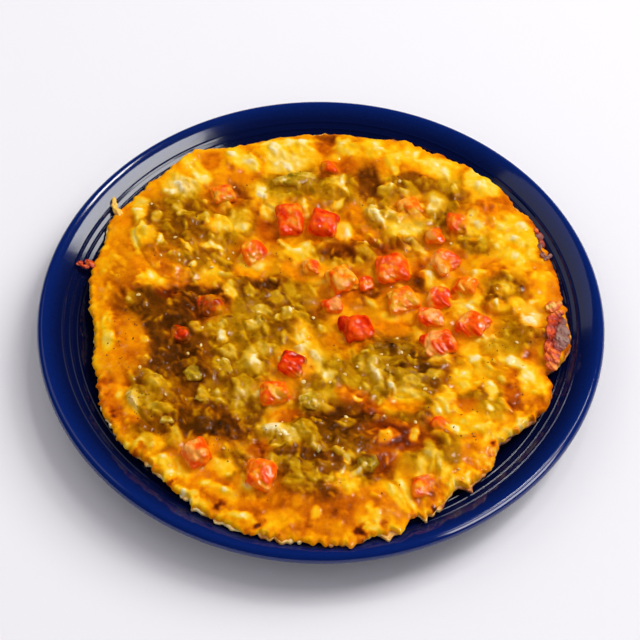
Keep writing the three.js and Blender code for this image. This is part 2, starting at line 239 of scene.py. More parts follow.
def fieldAt(field, x, y):
    count = len(fieldLine)
    u = np.clip((x + fieldSize["reach"]) / fieldSize["step"], 0, count - 1.001)
    v = np.clip((y + fieldSize["reach"]) / fieldSize["step"], 0, count - 1.001)
    i = u.astype(int)
    j = v.astype(int)
    fu = u - i
    fv = v - j
    near = field[i, j] * (1 - fu) + field[i + 1, j] * fu
    far = field[i, j + 1] * (1 - fu) + field[i + 1, j + 1] * fu
    return near * (1 - fv) + far * fv


def blurred(field, reach):
    steps = int(math.ceil(2.5 * reach / fieldSize["step"]))
    offsets = np.arange(-steps, steps + 1) * fieldSize["step"]
    weights = np.exp(-(offsets / reach) ** 2)
    weights /= weights.sum()
    for axis in (0, 1):
        padded = np.pad(field, [(steps, steps) if k == axis else (0, 0) for k in (0, 1)], "edge")
        total = np.zeros_like(field)
        for k, weight in enumerate(weights):
            total += weight * np.take(padded, range(k, k + field.shape[axis]), axis=axis)
        field = total
    return field


# Patches of the topping as the photographed crisp wears them. Each kind has its greenness, tone
# (0 darkest, 1 white), redness, relief in mm, share of edge that is soft and share that it covers,
# and each patch its x, y, half length, half width and degrees turned. Later kinds lie over earlier ones.
patchKinds = {
    "sauce": {"green": 0.9, "tone": 0.44, "red": 0, "relief": 0.2, "soft": 0.6, "cover": 0.92, "patches": [
        (-68, 55, 24, 19, 20), (-45, 50, 13, 16, 0), (-10, 79, 22, 11, 5), (8, 76, 9, 13, 0),
        (40, 80, 10, 9, 0), (31, 73, 8, 8, 0), (42, 54, 20, 14, -20), (60, 77, 12, 12, 0),
        (76, 43, 11, 9, 0), (87, 13, 12, 10, 0), (88, -12, 17, 12, 0), (-32, 5, 18, 18, 0),
        (-36, -14, 22, 20, 0), (-42, -38, 24, 22, -20), (-74, -48, 15, 16, 20), (-68, -67, 19, 13, 0),
        (-72, 2, 20, 10, 0), (40, -22, 26, 13, 0), (38, -41, 22, 12, 0), (0, -52, 16, 14, 0),
        (8, -68, 24, 14, 0), (-12, -75, 20, 12, 0), (4, -90, 30, 12, 0), (-42, -86, 14, 8, 0),
        (50, -80, 12, 12, 0), (46, -60, 14, 10, 0), (-12, 5, 18, 16, 0), (12, 37, 18, 8, 0),
        (-55, 27, 14, 10, 0), (-92, 3, 9, 7, 0), (-88, 60, 7, 9, 0), (8, -28, 14, 12, 0),
        (56, 64, 9, 12, 0), (76, -52, 14, 9, 0), (60, -75, 9, 9, 0),
    ]},
    "wet": {"green": 0.8, "tone": 0.28, "red": 0.04, "relief": -0.6, "soft": 0.95, "cover": 0.9, "patches": [
        (-62, 7, 18, 8, -8), (-70, -18, 11, 17, 0), (-60, -22, 12, 8, 0), (-68, -33, 10, 7, 0),
        (-61, -45, 6, 10, 10), (-52, -62, 16, 8, -10), (-36, -68, 11, 7, 0), (22, 80, 6, 13, 5),
        (-42, 72, 5, 8, 10), (10, 37, 9, 4, 0), (23, 14, 6, 5, 0), (45, 19, 6, 7, 0), (5, -63, 14, 6, -8),
        # the thin dark line at (2, -83) is a painted shadow of the chile beside it
        (2, -83, 22, 2, -4), (40, -32, 15, 1.6, -8), (-25, 17, 8, 4, 0), (12, -55, 9, 5, -20),
        (-72, 8, 6, 4, 0), (-57, -38, 5, 6, 0), (-46, -58, 6, 4, 0), (-30, -58, 5, 7, 20),
        (2, 110, 5, 5, 0),
    ]},
    "stain": {"green": 0.1, "tone": 0.38, "red": 0.4, "relief": -0.4, "soft": 0.8, "cover": 0.85, "patches": [
        (-24, 49, 8, 8, 0), (85, 65, 7, 8, 35), (24, -54, 6, 4, -20), (36, -70, 14, 7, -15),
        (28, -84, 6, 8, 0), (14, -48, 7, 5, 0), (11, 91, 6, 5, 0), (2, 104, 5, 7, 0), (88, -46, 4, 11, 0),
        (-26, -78, 5, 5, 0), (-16, -60, 7, 4, 0), (66, -52, 6, 3, -10), (17, 19, 5, 6, 0),
        (-74, 10, 5, 4, 0), (66, 30, 4, 7, 0), (-55, 93, 5, 6, 0), (48, 27, 5, 6, 0), (97, -28, 4, 6, 0),
        (30, 38, 5, 3, 0),
    ]},
    "amber": {"green": 0, "tone": 0.52, "red": 0.08, "relief": -0.1, "soft": 0.6, "cover": 0.9, "patches": [
        (-92, -21, 11, 16, 0), (-94, -42, 8, 12, 10), (-99, 50, 4, 22, -10), (-97, 10, 8, 22, 0),
        (-88, -62, 6, 8, 20), (-52, -94, 16, 6, -20), (72, -80, 9, 11, 0), (80, 64, 8, 6, -30),
        (62, -60, 12, 9, 0), (-3, 48, 9, 5, 0), (20, 47, 6, 6, 0), (15, 60, 5, 7, 0), (-12, 26, 8, 6, 0),
        (-74, 20, 12, 6, 0), (37, 95, 12, 10, 0), (-40, 87, 8, 8, 0), (104, 18, 5, 14, 0),
        (76, 28, 9, 6, 0), (36, -6, 10, 6, 0), (8, -20, 12, 8, 0), (38, -52, 9, 6, 0), (-33, 26, 9, 6, 0),
        (24, -104, 14, 8, 0), (-28, -110, 18, 7, -15), (0, -114, 22, 8, 0), (100, -45, 6, 10, 0),
        (-85, 26, 8, 5, 0), (-97, 65, 5, 5, 0), (46, 4, 5, 6, 0), (88, 30, 10, 5, 0), (-48, -94, 6, 4, -20),
    ]},
    "gold": {"green": 0.04, "tone": 0.74, "red": 0, "relief": 0.3, "soft": 0.7, "cover": 0.9, "patches": [
        (92, 44, 11, 17, 10), (-19, 98, 14, 10, 5), (-63, 88, 5, 11, 40), (-40, 95, 5, 10, 42),
        (24, 103, 6, 7, 0), (34, 96, 5, 8, 0), (43, 97, 5, 7, 0), (57, 90, 11, 7, -25), (80, 80, 9, 8, -45),
        (-26, 60, 5, 5, 0), (-50, 52, 7, 6, 0), (-86, 44, 6, 7, 0), (-34, 30, 8, 5, 0), (11, 50, 4, 6, 0),
        (38, 52, 10, 8, 0), (-11, 37, 7, 5, 0), (75, 52, 5, 8, 0), (70, 6, 6, 7, 0), (104, 14, 3.5, 9, 0),
        (69, -22, 4, 9, 10), (98, -38, 7, 9, 0), (68, -38, 8, 7, 0), (58, -47, 5, 5, 0), (55, -55, 4, 5, 0),
        (66, -64, 9, 6, 0), (-6, -18, 6, 11, 20), (-3, -32, 5, 5, 0), (36, 0, 8, 4, 0), (86, -68, 9, 4, 38),
        (-74, -76, 7, 5, 30), (-64, -88, 9, 4, -40), (-45, -100, 9, 4, -30), (-16, -113, 8, 5, 0),
        (22, -114, 5, 8, 20), (34, -102, 3, 9, 35), (58, -91, 3, 6, 25), (-82, 17, 7, 4, 0),
        (-52, 20, 6, 7, 0), (48, -85, 5, 6, 0), (-42, -88, 6, 4, 0), (-95, -50, 4, 6, 20),
        (99, -2, 4, 8, 0), (-100, -15, 3, 12, 0), (-90, 60, 4, 8, 0), (40, -48, 6, 4, 0),
        (12, -95, 8, 5, 0), (84, 4, 5, 3, 0), (94, 5, 4, 4, 0),
    ]},
    # partly pale cheese and chile flesh, partly painted highlights on the wet topping, as beside some pieces
    # of tomato
    "creamAndHighlights": {"green": 0.1, "tone": 0.82, "red": 0, "relief": 0.5, "soft": 0.8, "cover": 0.9, "patches": [
        (57, 90, 7, 5, -30), (74, 85, 4, 6, -30), (82, 77, 4, 6, 40), (13, 103, 4.5, 5.5, 0),
        (-18, 107, 15, 2.5, 6), (-90, 41, 1.8, 8, 18), (-86, 49, 2, 3, 30), (-43, 11, 3, 6, 5),
        (-31, 74, 2.4, 5, 0), (-30, 61, 1.6, 4, 20), (-60, 81, 2, 5, 38), (-65, 88, 1.6, 5, 38),
        (-36, 92, 2, 5, 42), (-44, 97, 1.6, 3, 42), (-65, 36, 1.6, 4.5, 35), (-52, 38, 5, 1.6, -8),
        (-40, 49, 3.5, 3, 0), (52, 25, 2, 8, -10), (73, 9, 3, 4, 20), (4, -37, 3, 4, -20),
        (39, -99, 2, 9, 25), (78, -45, 2.6, 6, 10), (90, -30, 7, 3, -20), (93, -62, 7, 2, 38),
        (25, 104, 2, 3, 0), (12, 49, 1.5, 3, 0), (38, 48, 3, 1.6, -20), (42, 40, 1.8, 1.4, 0),
        (72, 58, 1.8, 2.6, 0), (95, 53, 2, 3, 0), (90, 45, 2.4, 3, 0), (93, 35, 2, 3, 0),
        (-34, 34.5, 2.6, 1.6, 0), (-12, 38, 2.6, 2, 0), (7, 15, 2, 4, -30), (78, -56, 1.8, 1.8, 0),
        (67, -35, 2.6, 2, 0), (72, -28, 1.8, 1.8, 0), (60, -46, 2, 1.6, 0), (97, -37, 3, 3, 0),
        (66, -92, 1.4, 4, -20), (-71, -84, 4, 2, -20), (-55, -104, 8, 1.8, -35), (-33, -114, 7, 1.8, -15),
        (0, -110, 3, 3, 0), (24, -112, 1.4, 7, 15), (-32, -97, 2, 4, 0), (-20, -67, 6.5, 3, -20),
        (35, 87, 2, 3, 0), (46, 99, 1.6, 2, 0), (-46, -17, 2, 3, 20), (87, 14, 2.4, 3, 0),
        (-8, -13, 2, 4, 10), (-10, -24, 2.4, 2, 0), (42, -70, 2, 3, 0), (29, -71, 3, 3, 0),
        (12, -83, 2, 2.4, 0), (17, -90, 3, 1.4, 0), (8, 66, 2, 3, 0), (11, 77, 1.4, 6, 10),
        (-87, 18, 3, 1.4, -20), (-62, 26, 1.8, 2, 0), (-78, 42, 1, 4, 0), (82, 5, 1.2, 1.6, 0),
        (100, 8, 1.6, 2, 0), (54, 66, 3, 5, 0), (31, 76, 3, 3, 0), (76, 52, 2, 2, 0), (-9, 62, 1.6, 5, 0),
        (16, -50, 2.4, 1.6, 0),
    ]},
    "haze": {"green": 0.6, "tone": 0.76, "red": 0, "relief": 0.3, "soft": 0.9, "cover": 0.7, "patches": [
        (-71, 76, 8, 6, -30), (56, 68, 5, 7, 0), (24, 61, 3.5, 7, 15), (-90, 66, 4, 4, 0),
        (88, 14, 5, 5, 0), (62, 80, 6, 5, -20), (-40, 56, 5, 6, 0), (26, -34, 3, 7, 10), (-88, 4, 4, 3, 0),
        (8, 82, 4, 4, 0),
    ]},
    "pulp": {"green": 0.9, "tone": 0.6, "red": 0, "relief": 0.9, "soft": 0.5, "cover": 0.9, "patches": [
        (-75, -43, 5, 7, 30), (-84, -52, 3, 8, 12), (-86, -42, 2, 2, 0), (-45, -34, 2.6, 6.5, 25),
        (-60, -32, 5, 3.5, -20), (-53, -49, 2.4, 5, 25), (-47, -50, 3, 4, 20), (-36, -46, 3, 6, 15),
        (-72, -58, 6, 2.4, -30), (-76, -75, 2.6, 5, 15), (-64, -73, 2.4, 5, 10), (-30, -33, 2.6, 5, 15),
        (-33, -10, 4, 3, 0), (-42, -24, 3, 4, 20), (-27, -22, 2.6, 5, 20), (-22, 8, 3, 4, 0),
        (-14, 13, 3, 4, 20), (-33, 12, 2.6, 3.4, 0), (-66, 4, 3.4, 2.6, 0), (-28, 1, 4, 3, 0),
        (-16, -2, 3, 4, 0), (-12, -73, 3, 6, 20), (-3, -74, 2, 8, 10), (-10, -87, 8, 2.6, -15),
        (8, -80, 3, 2.4, 0), (12, -63, 4, 3, 0), (48, -77, 2.4, 5, 0), (53, -84, 2, 5, 0),
        (25, -33, 2, 6, 12), (42, -40, 4, 2.4, 0), (52, -36, 4, 2.4, 0), (-12, -95, 5, 2.4, 0),
        (20, 36, 5, 2, -35), (62, 79, 6, 5, -10), (30, 74, 3, 3, 0), (-8, 83, 5, 3, 0), (-20, 80, 4, 3, 0),
        (78, 42, 2, 5, 0), (33, 60, 3, 4, 0), (46, 56, 3, 4, 0), (-66, 58, 4, 3, 0), (-58, 56, 3, 3, 0),
        (-80, 56, 3, 4, 0), (-48, 66, 3, 3, 0), (70, 46, 3, 2, 0), (-2, -93, 4, 3, 0), (-20, -84, 3, 2, 0),
    ]},
}
baseLook = {"green": 0.17, "tone": 0.55, "red": 0.03}

warpX = 2.6 * roughness(fieldX, fieldY, 10, 301) + 1.2 * roughness(fieldX, fieldY, 4, 302)
warpY = 2.6 * roughness(fieldX, fieldY, 10, 303) + 1.2 * roughness(fieldX, fieldY, 4, 304)
fields = {name: np.full_like(fieldX, value) for name, value in baseLook.items()}
fields["green"] += 0.28 * ease((100 - np.hypot(fieldX - 4, fieldY + 8)) / 26)  # less of it near the edge
fields["relief"] = 0.5 * roughness(fieldX, fieldY, 7, 305)


def fieldWindow(x, y, reach):
    i = int(round((x + fieldSize["reach"]) / fieldSize["step"]))
    j = int(round((y + fieldSize["reach"]) / fieldSize["step"]))
    half = int(reach / fieldSize["step"]) + 2
    return np.s_[max(i - half, 0):max(i + half, 0), max(j - half, 0):max(j + half, 0)]


def patchShape(x, y, halfLength, halfWidth, turn):  # where it lies; 0 in its middle, 1 on its outline
    part = fieldWindow(x, y, 1.5 * max(halfLength, halfWidth) + 4)
    dx, dy = turned(fieldX[part] + warpX[part] - x, fieldY[part] + warpY[part] - y, -turn)
    return part, np.hypot(dx / halfLength, dy / halfWidth)


def paintPatch(kind, *outline):
    part, away = patchShape(*outline)
    share = kind["cover"] * ease((1 + kind["soft"] * 0.5 - away) / kind["soft"])
    for name in ("green", "tone", "red"):
        fields[name][part] += (kind[name] - fields[name][part]) * share
    fields["relief"][part] += kind["relief"] * share


def randomPlace(reach, random):
    angle = random.uniform(0, 2 * math.pi)
    out = reach * math.sqrt(random.uniform())
    return crispCentre[0] + out * math.cos(angle), crispCentre[1] + out * math.sin(angle)


def stampDomes(kind, random):
    relief = fields["relief"]
    for _ in range(kind["count"]):
        x, y = randomPlace(crispRadius, random)
        length = random.uniform(*kind["length"])
        width = length * random.uniform(*kind["slender"])
        height = random.uniform(*kind["height"]) * min(width / 2, 1.2)
        turn = random.normal(kind["flow"], kind["stray"])
        tone = random.normal(kind.get("lift", 0), kind["tone"])
        here = fieldWindow(x, y, 0)
        if random.uniform() > kind["chance"][here].mean():
            continue
        part = fieldWindow(x, y, length * 0.7)
        dx, dy = turned(fieldX[part] + 0.5 * warpX[part] - x, fieldY[part] + 0.5 * warpY[part] - y, -turn)
        away = np.hypot(2 * dx / length, 2 * dy / width) + 0.35 * (raggedness[part] - 0.5)
        share = ease((1.2 - away) / 0.65)
        level = relief[here].mean()
        relief[part] += (np.maximum(relief[part], level) + height - relief[part]) * share * 0.85
        fields["tone"][part] += tone * share


for kind in patchKinds.values():
    for patch in kind["patches"]:
        paintPatch(kind, *patch)

# wide soft areas over the patches: x, y, half length, half width, degrees turned, change of tone, of
# greenness and of redness; the darker ones are mostly darker sauce, and those at (-96, 15) and (8, 42) are
# painted shadow
softAreas = [
    (-75, -2, 19, 14, -15, -0.23, 0.45, 0.04), (-58, 7, 13, 11, 10, -0.25, 0.3, 0.04),
    (-67, -26, 10, 16, 10, -0.16, 0.25, 0.04), (-96, 15, 7, 17, 0, -0.09, 0.3, 0),
    (-85, -39, 6, 12, 10, -0.1, 0.2, 0.05), (-97, -51, 5, 11, 20, -0.18, 0, 0.3),
    (-51, -66, 13, 7, -15, -0.1, 0.2, 0), (13, -57, 13, 8, -10, -0.13, 0.15, 0.08),
    (3, -69, 11, 6, 0, -0.1, 0.25, 0), (31, -71, 13, 7, -10, -0.12, 0, 0.12),
    (8, 42, 13, 6, -10, -0.08, 0, 0.25), (-31, 57, 7, 8, 0, -0.08, 0, 0.12),
    (-14, -85, 9, 6, 0, -0.07, 0.1, 0), (3, -101, 9, 6, 0, -0.06, 0, 0), (79, 61, 6, 7, 20, -0.1, 0, 0.25),
    (28, -86, 8, 7, 0, -0.1, 0.1, 0), (17, 12, 8, 6, 0, -0.08, 0, 0.1),
    (-49, -103, 7, 5, -30, -0.1, 0, 0.12), (-68, 75, 9, 6, 30, 0.15, 0.35, -0.1),
    (-17, 93, 10, 7, 0, 0.1, 0.3, -0.1), (-18, 76, 17, 9, 0, 0.12, 0.15, 0), (-46, 44, 9, 7, 0, 0.1, 0, 0),
    (-33, 28, 9, 7, 0, 0.1, 0, 0), (44, 57, 18, 11, -15, 0.13, 0.2, 0),
    (59, 2, 15, 12, -20, 0.14, 0.05, -0.05), (81, -20, 8, 10, 10, 0.1, 0, 0),
    (20, -32, 26, 13, -10, 0.08, 0.4, -0.1), (33, -39, 11, 7, 0, 0.08, 0.2, 0),
    (-28, -56, 14, 10, -30, 0.15, 0.15, -0.05), (-17, -71, 9, 7, -20, 0.16, 0.2, 0),
    (49, -86, 8, 7, 0, 0.12, 0.1, 0), (-33, -102, 8, 6, 0, 0.1, 0, 0), (80, -62, 9, 15, 15, 0.12, 0, 0),
    (17, -86, 9, 6, 0, 0.14, 0.1, 0), (34, 27, 10, 10, 0, 0.12, 0.2, -0.2),
    (63, 26, 12, 10, 0, 0.08, 0.2, -0.2), (-33, -17, 15, 25, 12, 0.08, 0.25, -0.05),
    (0, 26, 8, 8, 0, 0.1, 0, 0), (-1, -52, 9, 7, 0, 0.16, 0.3, 0), (-4, -22, 10, 14, 15, 0.04, 0.25, -0.1),
    (99, -4, 5, 14, 0, 0.05, 0, 0.3), (-80, -54, 8, 8, 0, 0.1, 0.1, 0), (48, -18, 8, 6, 0, 0.06, 0.1, 0),
    (81, -87, 8, 6, 40, 0, 0, 0.3), (-64, 52, 9, 8, 0, -0.08, 0.1, 0), (-6, -107, 27, 8, 4, -0.13, 0, 0.06),
    (-2, -88, 18, 9, 0, -0.08, 0, 0), (0, -10, 12, 12, 0, -0.05, 0, 0), (-60, 7, 14, 8, 10, -0.1, 0, 0.08),
    (42, -34, 18, 9, 0, -0.05, 0, 0), (-95, -22, 7, 16, 0, -0.04, 0, 0),
    (-40, -97, 11, 5, -25, -0.08, 0, 0.05), (20, -112, 12, 6, 0, -0.08, 0, 0.05),
]
for area in softAreas:
    part, away = patchShape(*area[:5])
    for name, change in zip(("tone", "green", "red"), area[5:]):
        fields[name][part] += change * ease(1.5 - away)
for name in ("green", "red"):
    fields[name] = np.clip(fields[name], 0, 1)
contrast = {"middle": 0.54, "gain": 1.18, "darkest": 0.21}
fields["tone"] = contrast["middle"] + contrast["gain"] * (fields["tone"] - contrast["middle"])
fields["tone"] = np.maximum(fields["tone"], contrast["darkest"])

# red juice round each piece of tomato, a patch of the same kind as the others
juice = {"green": 0.05, "tone": 0.54, "red": 0.4, "relief": -0.2, "soft": 0.9, "cover": 0.55, "reach": 1.3}
for name in cadNodes:
    if name.startswith("tomato_"):
        low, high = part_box(name)
        middle = (high + low) / 2 / mm
        halfSize = (high - low) / 2 / mm
        paintPatch(juice, middle.x, middle.y, juice["reach"] * halfSize.x, juice["reach"] * halfSize.y, 0)

random = np.random.default_rng(469)
raggedness = hills(fieldX, fieldY, 1.9, 306)
# where the three sorts of domes may lie, from 0 to 1: green pulp, pale bubbly cheese, dark wet pools
pulpy = np.clip(fields["green"] * 1.6 - 0.45, 0, 1) * ease((fields["tone"] - 0.2) / 0.2)
bubbly = np.clip((fields["tone"] - 0.5) * 4, 0, 1) * (1 - pulpy)
pools = ease((0.42 - fields["tone"]) / 0.14) * np.clip(fields["green"] * 2, 0, 1)
# lengths and heights in mm, the way they flow in degrees and how far they stray from it, spread of tone
domes = [
    {"count": 420, "chance": np.ones_like(fieldX), "length": (10, 22), "slender": (0.35, 0.7),
     "height": (0.2, 0.5), "flow": -50, "stray": 35, "tone": 0.05},
    {"count": 1000, "chance": pulpy, "length": (5, 11), "slender": (0.28, 0.5), "height": (0.4, 0.8),
     "flow": -58, "stray": 24, "tone": 0.07},
    {"count": 3600, "chance": pulpy, "length": (2, 4.6), "slender": (0.4, 0.75), "height": (0.3, 0.75),
     "flow": -58, "stray": 38, "tone": 0.09},
    {"count": 2000, "chance": pools, "length": (2.4, 7), "slender": (0.28, 0.5), "height": (0.2, 0.6),
     "flow": -58, "stray": 34, "tone": 0.06, "lift": 0.08},
    {"count": 1100, "chance": bubbly, "length": (4, 10), "slender": (0.4, 0.75), "height": (0.3, 0.7),
     "flow": -55, "stray": 40, "tone": 0.06},
    {"count": 2200, "chance": bubbly, "length": (1.8, 4.2), "slender": (0.45, 0.85), "height": (0.15, 0.4),
     "flow": -55, "stray": 45, "tone": 0.05},
    {"count": 3000, "chance": 0.55 - 0.4 * np.maximum(pulpy, bubbly), "length": (1.8, 5),
     "slender": (0.4, 0.9), "height": (0.15, 0.4), "flow": -50, "stray": 50, "tone": 0.06},
]
for kind in domes:
    stampDomes(kind, random)
fields["tone"] += 0.08 * roughness(fieldX, fieldY, 11, 311)
fields["green"] += 0.12 * roughness(fieldX, fieldY, 9, 315)
print("topping fields made")


# Heights of the CAD solids

def solidTree(names):
    places = []
    faces = []
    for name in names:
        mesh = cadNodes[name].data
        start = len(places)
        places += [v.co.copy() for v in mesh.vertices]
        faces += [[start + k for k in polygon.vertices] for polygon in mesh.polygons]
    return BVHTree.FromPolygons(places, faces)


def topOf(tree, x, y):
    hit = tree.ray_cast(Vector((x * mm, y * mm, 0.1)), Vector((0, 0, -1)))[0]
    return hit.z / mm if hit else math.nan


def bottomOf(tree, x, y):
    hit = tree.ray_cast(Vector((x * mm, y * mm, -0.01)), Vector((0, 0, 1)))[0]
    return hit.z / mm if hit else math.nan


castGrid = {"coarse": 3, "wideBlur": 8, "leastWeight": 0.02}


def heightField(tree, cast, blur):  # blurred heights, and how fully the solids cover each place
    coarse = castGrid["coarse"]  # every third place of the field is cast, the rest lies between them
    line = fieldLine[::coarse]
    heights = np.array([[cast(tree, x, y) for y in line] for x in line])
    missing = np.isnan(heights)
    known = np.where(missing, 0, heights)
    weight = (~missing).astype(float)
    full = np.minimum(len(line) - 1, np.arange(len(fieldLine)) / coarse)
    low = full.astype(int)
    high = np.minimum(low + 1, len(line) - 1)
    part = full - low

    def spread(coarseField):
        rows = coarseField[low] * (1 - part)[:, None] + coarseField[high] * part[:, None]
        return rows[:, low] * (1 - part)[None, :] + rows[:, high] * part[None, :]

    least = castGrid["leastWeight"]
    total = blurred(spread(known), blur)
    cover = blurred(spread(weight), blur)
    wideTotal = blurred(spread(known), castGrid["wideBlur"])
    wide = wideTotal / np.maximum(blurred(spread(weight), castGrid["wideBlur"]), 1e-6)
    return np.where(cover > least, total / np.maximum(cover, least), wide), cover


bedNames = sorted(name for name in cadNodes if name.startswith("chile_bed_"))
breadTree = solidTree(["tortilla"])
chunkNames = sorted(name for name in cadNodes if name.startswith(("tomato_", "chile_")))
chunkNames = [name for name in chunkNames if name not in bedNames]
cheeseTop = heightField(solidTree(["cheese"]), topOf, 2.2)[0]
breadTop = heightField(breadTree, topOf, 2.2)[0]
breadFoot = heightField(breadTree, bottomOf, 2.2)[0]
bedTop, bedCover = heightField(solidTree(bedNames), topOf, 1.5)
chunkCover = heightField(solidTree(chunkNames), topOf, 1.4)[1]
print("heights of the solids taken")

# reach of the bread in each direction, from its outermost points
edgeCount = 128
breadPoints = np.array([v.co for v in cadNodes["tortilla"].data.vertices]) / mm
away = breadPoints[:, :2] - crispCentre
turns = np.arctan2(away[:, 1], away[:, 0]) / (2 * math.pi) % 1
reaches = np.zeros(edgeCount)
steps = np.round(turns * edgeCount).astype(int) % edgeCount
np.maximum.at(reaches, steps, np.hypot(away[:, 0], away[:, 1]))

# teeth and recesses of the edge: degrees, half width in degrees, reach in mm
edgeSpikes = ((284, 0.8, 2), (293.3, 0.6, 3.6), (306.1, 0.7, 2.8), (262, 0.6, 1.4), (331, 0.6, 1.2),
              (344.8, 1.4, -3.6), (23.5, 5.5, -2.2), (228, 0.5, 1.2), (241, 0.5, 1.4))

# tears of the edge: lengths in mm and shares, strongest round one part of a whole turn
tearing = {"waves": ((8.3, 0.5), (3.7, 0.5), (1.7, 0.75)), "least": 0.5, "more": 0.45, "middle": 0.71,
           "spread": 0.22, "closing": 0.01}


def edgeReach(angle, ragged, seed):  # angle in radians
    turn = angle / (2 * math.pi) % 1
    reach = np.interp(turn * edgeCount, np.arange(edgeCount + 1), np.append(reaches, reaches[0]))
    along = turn * 2 * math.pi * crispRadius
    closing = ease(np.minimum(turn, 1 - turn) / tearing["closing"])
    front = ease(1 - np.abs(turn - tearing["middle"]) / tearing["spread"])  # the lower left and the front
    crumbly = tearing["least"] + tearing["more"] * front
    tears = 0
    for length, share in tearing["waves"]:
        strength = 0.3 + 1.5 * hills(along, 0 * along + 40, 2.7 * length, seed + 3 * length)
        tears = tears + share * strength * (hills(along, 0 * along, length, seed + length) - 0.5)
    for degrees, halfWidth, size in edgeSpikes:
        reach = reach + size * np.exp(-((turn * 360 - degrees) / halfWidth) ** 2)
    return reach + 2 * ragged * tears * closing * crumbly


# the outermost band of the crisp: lumpier, pale at the lower left (partly paler cheese, partly painted light
# on its lit edge), toasted on the right, crumbly and browned in front; widths in mm, the rest are changes of
# relief, tone and redness
edgeBand = {"width": 9, "relief": 0.4, "mottle": 0.14, "paleWidth": 4, "pale": 0.08, "toastWidth": 7,
            "toast": 0.16, "toastRed": 0.35, "frontInset": 3, "frontWidth": 11, "frontShade": 0.05,
            "crumbs": 0.14, "crumbRelief": 0.4, "browned": 0.4, "brownedRed": 0.3}


def paintEdgeBand():
    dx = fieldX - crispCentre[0]
    dy = fieldY - crispCentre[1]
    inward = edgeReach(np.arctan2(dy, dx), 0, 0) - np.hypot(dx, dy)
    band = ease(1 - inward / edgeBand["width"])
    # pale at the lower left: partly paler cheese, partly painted light
    pale = ease(0.5 - (dx + dy) / 130) * ease(1 - inward / edgeBand["paleWidth"])
    toast = ease((dx - 30) / 70) * ease(1 - inward / edgeBand["toastWidth"])
    toast = toast * ease(0.5 + roughness(fieldX, fieldY, 9, 325))
    fields["relief"] += edgeBand["relief"] * band * roughness(fieldX, fieldY, 5, 321)
    fields["tone"] += edgeBand["mottle"] * band * roughness(fieldX, fieldY, 6, 323)
    fields["tone"] += edgeBand["pale"] * pale - edgeBand["toast"] * toast
    fields["red"] += edgeBand["toastRed"] * toast
    fields["green"] *= 1 - 0.8 * band
    front = ease((-dy - 20) / 50) * ease(1 - (inward - edgeBand["frontInset"]) / edgeBand["frontWidth"])
    lumps = np.clip(roughness(fieldX, fieldY, 3.4, 327) * 2.2, 0, 1)
    browned = np.clip(roughness(fieldX, fieldY, 4.6, 331) * 3.4 - 0.9, 0, 1)
    change = edgeBand["crumbs"] * lumps - edgeBand["browned"] * browned - edgeBand["frontShade"]
    fields["tone"] += front * change
    fields["red"] += edgeBand["brownedRed"] * front * browned
    fields["relief"] += edgeBand["crumbRelief"] * front * lumps


paintEdgeBand()
fields["relief"] = blurred(fields["relief"], 0.5)
# painted light and shade from the relief: high on raised places, low in hollows, weaker in the green sauce
fields["raised"] = np.clip(0.5 + (fields["relief"] - blurred(fields["relief"], 2.6)) / 1.6, 0, 1)
for name in ("green", "red"):
    fields[name] = np.clip(fields[name], 0, 1)
fields["raised"] = 0.5 + (fields["raised"] - 0.5) * (1 - 0.5 * fields["green"])


def ringPlaces(share, count, ragged, seed, inset=0):
    angle = 2 * math.pi * np.arange(count) / count
    reach = (edgeReach(angle, ragged, seed) - inset) * share
    return crispCentre[0] + reach * np.cos(angle), crispCentre[1] + reach * np.sin(angle)


def ringFaces(counts, starts, lowest, highest):
    faces = []
    for k in range(len(counts) - 1):
        n = counts[k]
        m = counts[k + 1]
        i = 0
        j = 0
        while i < n or j < m:
            low = starts[k] + i % n
            high = starts[k + 1] + j % m
            if j >= m or (i < n and (i + 1) / n <= (j + 1) / m):
                i += 1
                faces.append((low, starts[k] + i % n, high))
            else:
                j += 1
                faces.append((low, starts[k + 1] + j % m, high))
    faces += [(lowest, starts[0] + (i + 1) % counts[0], starts[0] + i) for i in range(counts[0])]
    last = counts[-1]
    faces += [(highest, starts[-1] + i, starts[-1] + (i + 1) % last) for i in range(last)]
    return faces


def ringPiece(name, rings):  # closed piece through rings of points from the lowest to the highest
    counts = [len(ring) for ring in rings]
    starts = [sum(counts[:k]) for k in range(len(counts))]
    total = sum(counts)
    ends = [ring.mean(axis=0, keepdims=True) for ring in (rings[0], rings[-1])]
    places = np.concatenate(rings + ends)
    return pieceFrom(places, ringFaces(counts, starts, total, total + 1), name)


# Materials

def ceramicGlaze():  # cobalt glaze over stoneware: deep, even, very glossy; thinner and bluer on the lip
    material, tree = newMaterial("cobalt_glazed_stoneware")
    place = addNode(tree, "ShaderNodeTexCoord").outputs["Object"]
    split = addNode(tree, "ShaderNodeSeparateXYZ", {0: place})
    flat = addNode(tree, "ShaderNodeCombineXYZ", {0: split.outputs[0], 1: split.outputs[1]})
    radius = addNode(tree, "ShaderNodeVectorMath", {0: flat.outputs[0]}, operation="LENGTH")
    # darkest within 106 mm and paler towards the lip: the glaze is thinner on the lip, and the rim beside and
    # under the crisp gets painted shade
    lip = addNode(tree, "ShaderNodeMapRange", {
        0: radius.outputs["Value"], 1: 0.106, 2: 0.131, 3: 0, 4: 0.75})
    tone = scaled(tree, noise(tree, place, 900, 3), 0.15, lip.outputs[0])
    coverWith(tree, {
        "Base Color": ramp(tree, tone, (0.05, "#03041A"), (0.6, "#07123E"), (1, "#0B2A7C")),
        "Roughness": 0.08, "IOR": 1.5, "Normal": bumped(tree, noise(tree, place, 60, 2), 0.06, 0.001)})
    return material


